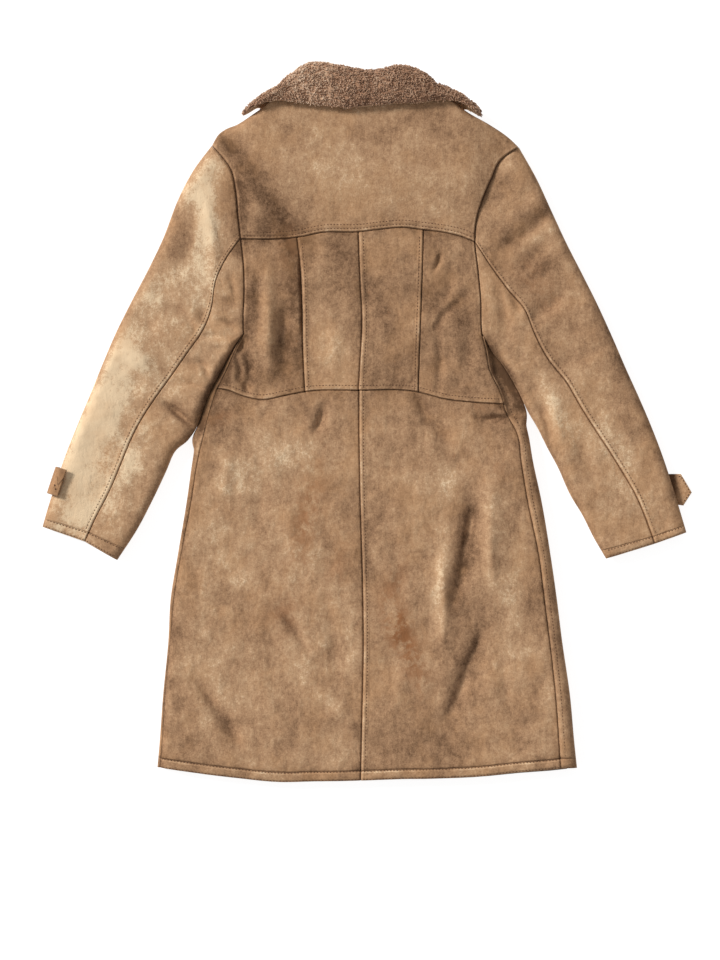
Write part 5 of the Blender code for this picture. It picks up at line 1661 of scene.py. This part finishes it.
def make_collar():
    """The collar's folded band with its clipped fleece, then the curls that stand on it."""
    collar = Collar()
    last = collar.half + collar.turned + collar.front
    run = np.linspace(-last, last, round(2 * last / COLLAR_CELL) + 1)
    rows, past = section_rows()
    runs, places = np.meshgrid(run, rows[:, 0], indexing="ij")
    layers, bulges = (np.broadcast_to(rows[:, k], runs.shape) for k in (1, 2))
    grid = collar.points(runs, places, layers, bulges)
    normal = outward_normals(grid)
    hide_side = past >= HIDE_FROM - 1
    fleece = np.where(hide_side, 0.0, np.minimum((past + 1) / 2, 1))
    girth = np.arange(len(rows)) * COLLAR_CELL
    low_half = np.where(grid[..., 2] < NECK_LEVEL, 0.35, 1.0)
    puff = (0.9 * CURLS(runs, girth) + 0.55 * FLUFF(runs, girth)) * fleece * low_half
    grid = grid + normal * puff[..., None]
    grid[..., 2] = np.maximum(grid[..., 2], 0.05)
    points = grid.reshape(-1, 3)
    index = np.arange(runs.size).reshape(runs.shape)
    faces = quads(ringed(index))
    kinds = np.tile(hide_side, len(run) - 1).astype(int).tolist()
    free = int(np.searchsorted(past, COLLAR_SECTION.index(FREE_EDGE))) + 1
    first, last = (cap_faces(ring[:free], ring[free:][::-1], points) for ring in index[[0, -1]].tolist())
    caps = first + [face[::-1] for face in last]
    faces = outward(points, faces + caps)
    kinds += [0] * len(caps)
    # Paler on raised curls, plus the painted light of fleece_shade.
    tip = 0.33 + 0.28 * puff.ravel() + fleece_shade(points)
    fields = {"tip": tip, "tone": 0.5, "stain": 0.0, "cut": 3.0}
    made = make_mesh("collar_sheepskin", points, faces, fields, (FLEECE, SUEDE), np.array(kinds, np.int32))
    keep(made, "fleece", "collar")
    make_curls(grid, normal, np.broadcast_to(fleece, runs.shape))


def fleece_shade(points):
    """The fleece is painted paler on the left of the neck and darker on the right, as painted light from the
    upper left, and parted in broad locks.
    """
    x, y = points[:, 0], points[:, 1]
    # Painted light: paler on the left side of the neck, darker on the right.
    lit_left_shaded_right = 0.28 * bell(x + 85, 45) - 0.08 * bell(x - 70, 45)
    return lit_left_shaded_right + 0.18 * DIMPLE(x * 1.3, y) + 0.10 * RIPPLE(x, y) + 0.04


def cap_faces(near, far, points):
    """Triangles that close a ring of two chains side by side, across the shorter diagonal each time."""
    faces, i, j = [], 0, 0
    while i < len(near) - 1 or j < len(far) - 1:
        if j == len(far) - 1:
            step_near = True
        elif i == len(near) - 1:
            step_near = False
        else:
            ahead = np.linalg.norm(points[near[i + 1]] - points[far[j]])
            step_near = ahead < np.linalg.norm(points[near[i]] - points[far[j + 1]])
        if step_near:
            faces.append([near[i + 1], near[i], far[j]])
            i += 1
        else:
            faces.append([far[j + 1], near[i], far[j]])
            j += 1
    return faces


def make_curls(grid, normal, fleece):
    """Short curls of wool that lean in swirls, paler at their tips."""
    rng = np.random.default_rng(7)
    corner = grid[:-1, :-1]
    cell = np.linalg.norm(np.cross(grid[1:, :-1] - corner, grid[:-1, 1:] - corner), axis=-1)
    weight = cell * (fleece[:-1, :-1] > 0.9) * np.where(corner[..., 2] > NECK_LEVEL + 1, 1.0, 0.22)
    picked = rng.choice(weight.size, TUFTS, p=(weight / weight.sum()).ravel())
    i, j = np.unravel_index(picked, weight.shape)
    s, t = rng.random((2, TUFTS))[..., None]
    foot = grid[i, j] + (grid[i + 1, j] - grid[i, j]) * s + (grid[i, j + 1] - grid[i, j]) * t
    up = normal[i, j]
    x, y = foot[:, 0], foot[:, 1]
    lean = np.stack([CURL_X(x, y), CURL_Y(x, y), 0 * x], axis=-1)
    lean = lean + rng.normal(0, 0.35, lean.shape)
    lean -= up * np.einsum("ij,ij->i", lean, up)[:, None]
    size = rng.uniform(0.65, 1.15, (TUFTS, 1, 1))
    rise, bend = (np.array(row)[None, :, None] for row in (TUFT_RISE, TUFT_BEND))
    centres = foot[:, None] + size * (up[:, None] * rise + lean[:, None] * bend)
    centres[..., 2] = np.maximum(centres[..., 2], 1.2)
    widths = np.array(TUFT_WIDTHS)[None] * rng.uniform(0.7, 1.2, (TUFTS, 1))
    shade = rng.uniform(-0.12, 0.16, (TUFTS, 1))
    tip = np.array([*np.repeat(TUFT_TIPS, TUFT_SIDES), 0.0, 1.0])[None] + shade
    # The painted light of fleece_shade, paler on the left and darker on the right.
    tip = tip + fleece_shade(foot)[:, None]
    made = make_tubes("collar_curls", centres, widths, TUFT_SIDES, {"tip": tip}, (FLEECE,))
    keep(made, "fleece")


def make_tabs():
    """The strap end at each cuff: the left one hooks over the sleeve's edge, the right one stands out."""
    make_left_tab()
    make_right_tab()


def make_left_tab():
    sleeve = Sleeve("left")
    hook = smooth_line(HOOK)(np.linspace(0, 1, 30))
    heading = np.gradient(hook, axis=0)
    across = np.column_stack([-heading[:, 1], heading[:, 0]])
    across /= np.linalg.norm(across, axis=1)[:, None]
    outers, inners = [], []
    downs = np.linspace(*HOOK_DOWN, 34)
    for down in downs:
        edge, inner = sleeve.place(np.array([down, down]), np.array([0.0, 20.0]))
        inward = (inner - edge) / np.linalg.norm(inner - edge)
        rim = min(down - downs[0], downs[-1] - down) * sleeve.length
        thin = turn(np.array(rim + 0.3), 1.6)[0]
        for rows, way in ((outers, 1), (inners, -1)):
            shell = hook + way * across * TAB_WALL / 2 * thin
            rows.append(np.column_stack([edge + inward * shell[:, :1], shell[:, 1]]))
    outer, inner = np.stack(outers), np.stack(inners)
    fields = {"tone": 0.15 * DIMPLE(outer[..., 0], outer[..., 1]), "stain": 0.15, "cut": 2.2}
    made = make_wall("cuff_tab_left_strap", outer, inner, fields, (TRIM, TRIM))
    keep(made, "suede_trim", "cuff_tab_left")
    make_tab_thread(sleeve)


STRAP_STEPS = (0.02, 0.25, 0.5, 0.7, 0.82, 0.9, 0.955, 1.0)  # of its rings, from its middle to its rim
STRAP_HALF = 17.0  # about how far its rim is from its middle
STRAP_STITCHED = slice(12, 52)  # of the points round its rim


def make_right_tab():
    ring = np.array([(*point, rise) for point, rise in zip(STRAP, STRAP_RISE)])
    middle = ring.mean(axis=0)
    ring = np.concatenate([ring, ring[:1]])
    place = np.linspace(0, len(STRAP), 80, endpoint=False)
    rim = np.column_stack([np.interp(place, range(len(ring)), ring[:, k]) for k in range(3)])
    uppers, lowers = [], []
    for step in STRAP_STEPS:
        points = middle + (rim - middle) * step
        from_rim = (1 - step) * STRAP_HALF
        half = STRAP_WALL / 2 * turn(np.array(from_rim + 0.2), 1.8)[0]
        centre_z = points[:, 2] + STRAP_WALL / 2
        uppers.append(np.column_stack([points[:, :2], centre_z + half - 0.5 * bell(from_rim - 2.6, 0.8)]))
        lowers.append(np.column_stack([points[:, :2], np.maximum(centre_z - half, 0.05)]))
    points, faces = plate_between(np.stack(uppers), np.stack(lowers))
    shade = 0.25 - 1.3 * smoothstep((440 - points[:, 0]) / 10)
    fields = {"tone": shade, "stain": 0.1, "cut": 5.0}
    made = make_mesh("cuff_tab_right_strap", points, faces, fields, (TRIM,))
    keep(made, "suede_trim", "cuff_tab_right")
    row = middle + (rim - middle)[STRAP_STITCHED] * 0.85
    stitch("stitches_tab_right", [row + (0, 0, STRAP_WALL)])


TAB_SEAM = ((0.30, 1.0), (0.42, 2.6), (0.60, 5.4), (0.46, 8.0), (0.30, 10.4))
TAB_HOLES = ((0.66, 1.6), (0.78, 4.4))


def make_tab_thread(sleeve):
    """The pointed seam on the left tab, and the ends of thread in its two holes."""
    seam = smooth_line(TAB_SEAM)(np.linspace(0, 1, 14))
    lines = [seam + (0.004, 0.0), seam + (0.02, 0.7)]
    for down, reach in TAB_HOLES:
        lines.append(np.linspace((down - 0.02, reach - 0.8), (down + 0.02, reach + 0.8), 14))
    centres = []
    for line in lines:
        down = between(*HOOK_DOWN, line[:, 0])
        spots = sleeve.place(down, np.maximum(line[:, 1], 0.0))
        level = np.interp(line[:, 1], [-3.5, 1.5, 10.5], [21.0, 26.0, 28.0]) + TAB_WALL / 2
        centres.append(np.column_stack([spots, level + 0.1]))
    widths = np.array([0.5, 0.4, 1.2, 1.2])[:, None] * np.ones((1, 12))
    made = make_tubes("cuff_tab_left_thread", np.stack(centres), widths, 6, {}, (THREAD,))
    keep(made, "suede_trim")


BUTTON_HOLES = ((-2.4, -2.4), (-2.4, 2.4), (2.4, -2.4), (2.4, 2.4))
BUTTON_RADII = np.concatenate([
    np.linspace(0.4, BUTTON_RADIUS - 1.2, 26), np.linspace(BUTTON_RADIUS - 0.9, BUTTON_RADIUS - 0.05, 5),
])


def make_buttons():
    """Dished horn buttons with four holes, face down under the lap."""
    angle = np.linspace(0, 2 * np.pi, 96, endpoint=False)
    for number, y in enumerate(BUTTON_Y):
        centre = np.array([CENTRE_FRONT + BUTTON_LINE, y])
        uppers, lowers = [], []
        for radius in BUTTON_RADII:
            spot = np.column_stack([radius * np.cos(angle), radius * np.sin(angle)])
            half = (BUTTON_WALL / 2 - 0.03) * turn(np.array(BUTTON_RADIUS - radius), 1.3)[0]
            hole = sum(np.exp(-((np.hypot(*(spot - at).T) / 1.2) ** 6)) for at in BUTTON_HOLES)
            hole = np.minimum(hole, 1)
            dish = 0.8 * (1 - smoothstep((radius - 7.0) / 1.6))
            uppers.append(np.column_stack([centre + spot, BUTTON_WALL / 2 + half - 0.45 * hole]))
            lowers.append(np.column_stack([centre + spot, BUTTON_WALL / 2 - half + dish + 1.1 * hole]))
        points, faces = plate_between(np.stack(uppers), np.stack(lowers))
        node = f"front_button_{number + 1}"
        keep(make_mesh(f"{node}_horn", points, faces, {}, (HORN,)), "horn", node)


# The studio.
CAMERA_X, CAMERA_Y = -9.8, -80.5
CAMERA_LENS = 85.0
VIEW_LONG = 1344.0  # of the table that the view takes in, top to bottom
SENSOR = 36.0
SUN_FROM = (-0.74, 0.44, 0.52)
TABLE_HALF = 4000.0


def make_studio():
    """A pale table, a soft sun from the upper left, light all round and a camera straight above."""
    corners = [(x * TABLE_HALF, y * TABLE_HALF, -0.4) for x, y in ((-1, -1), (1, -1), (1, 1), (-1, 1))]
    floor = make_mesh("table_top", np.array(corners), [[0, 1, 2, 3]], {}, ())
    pale = Finish("pale_table", 0.9, Emission_Strength=0.86)
    pale.shader.inputs["Base Color"].default_value = (0.33, 0.33, 0.33, 1)
    pale.shader.inputs["Emission Color"].default_value = (1, 1, 1, 1)
    floor.data.materials.append(pale.material)
    light = bpy.data.lights.new("window", "SUN")
    light.energy, light.angle, light.color = 3.4, 0.26, (1.0, 0.985, 0.96)
    sun = bpy.data.objects.new("window", light)
    bpy.context.scene.collection.objects.link(sun)
    sun.rotation_euler = Vector(SUN_FROM).to_track_quat("Z", "Y").to_euler()
    world = bpy.data.worlds.new("studio")
    world.use_nodes = True
    sky = world.node_tree.nodes["Background"]
    sky.inputs["Color"].default_value = (0.97, 0.985, 1.0, 1)
    sky.inputs["Strength"].default_value = 0.46
    scene = bpy.context.scene
    scene.world = world
    scene.view_settings.view_transform = "Standard"
    lens = bpy.data.cameras.new("above")
    lens.lens, lens.sensor_width, lens.clip_end = CAMERA_LENS, SENSOR, 100.0
    camera = bpy.data.objects.new("above", lens)
    scene.collection.objects.link(camera)
    height = VIEW_LONG * CAMERA_LENS / SENSOR + CREST
    camera.location = (CAMERA_X * MM, CAMERA_Y * MM, height * MM)
    scene.camera = camera


def main():
    make_back()
    make_yoke()
    make_fronts()
    make_sleeves()
    make_stitching()
    make_collar()
    make_tabs()
    make_buttons()
    make_studio()


main()
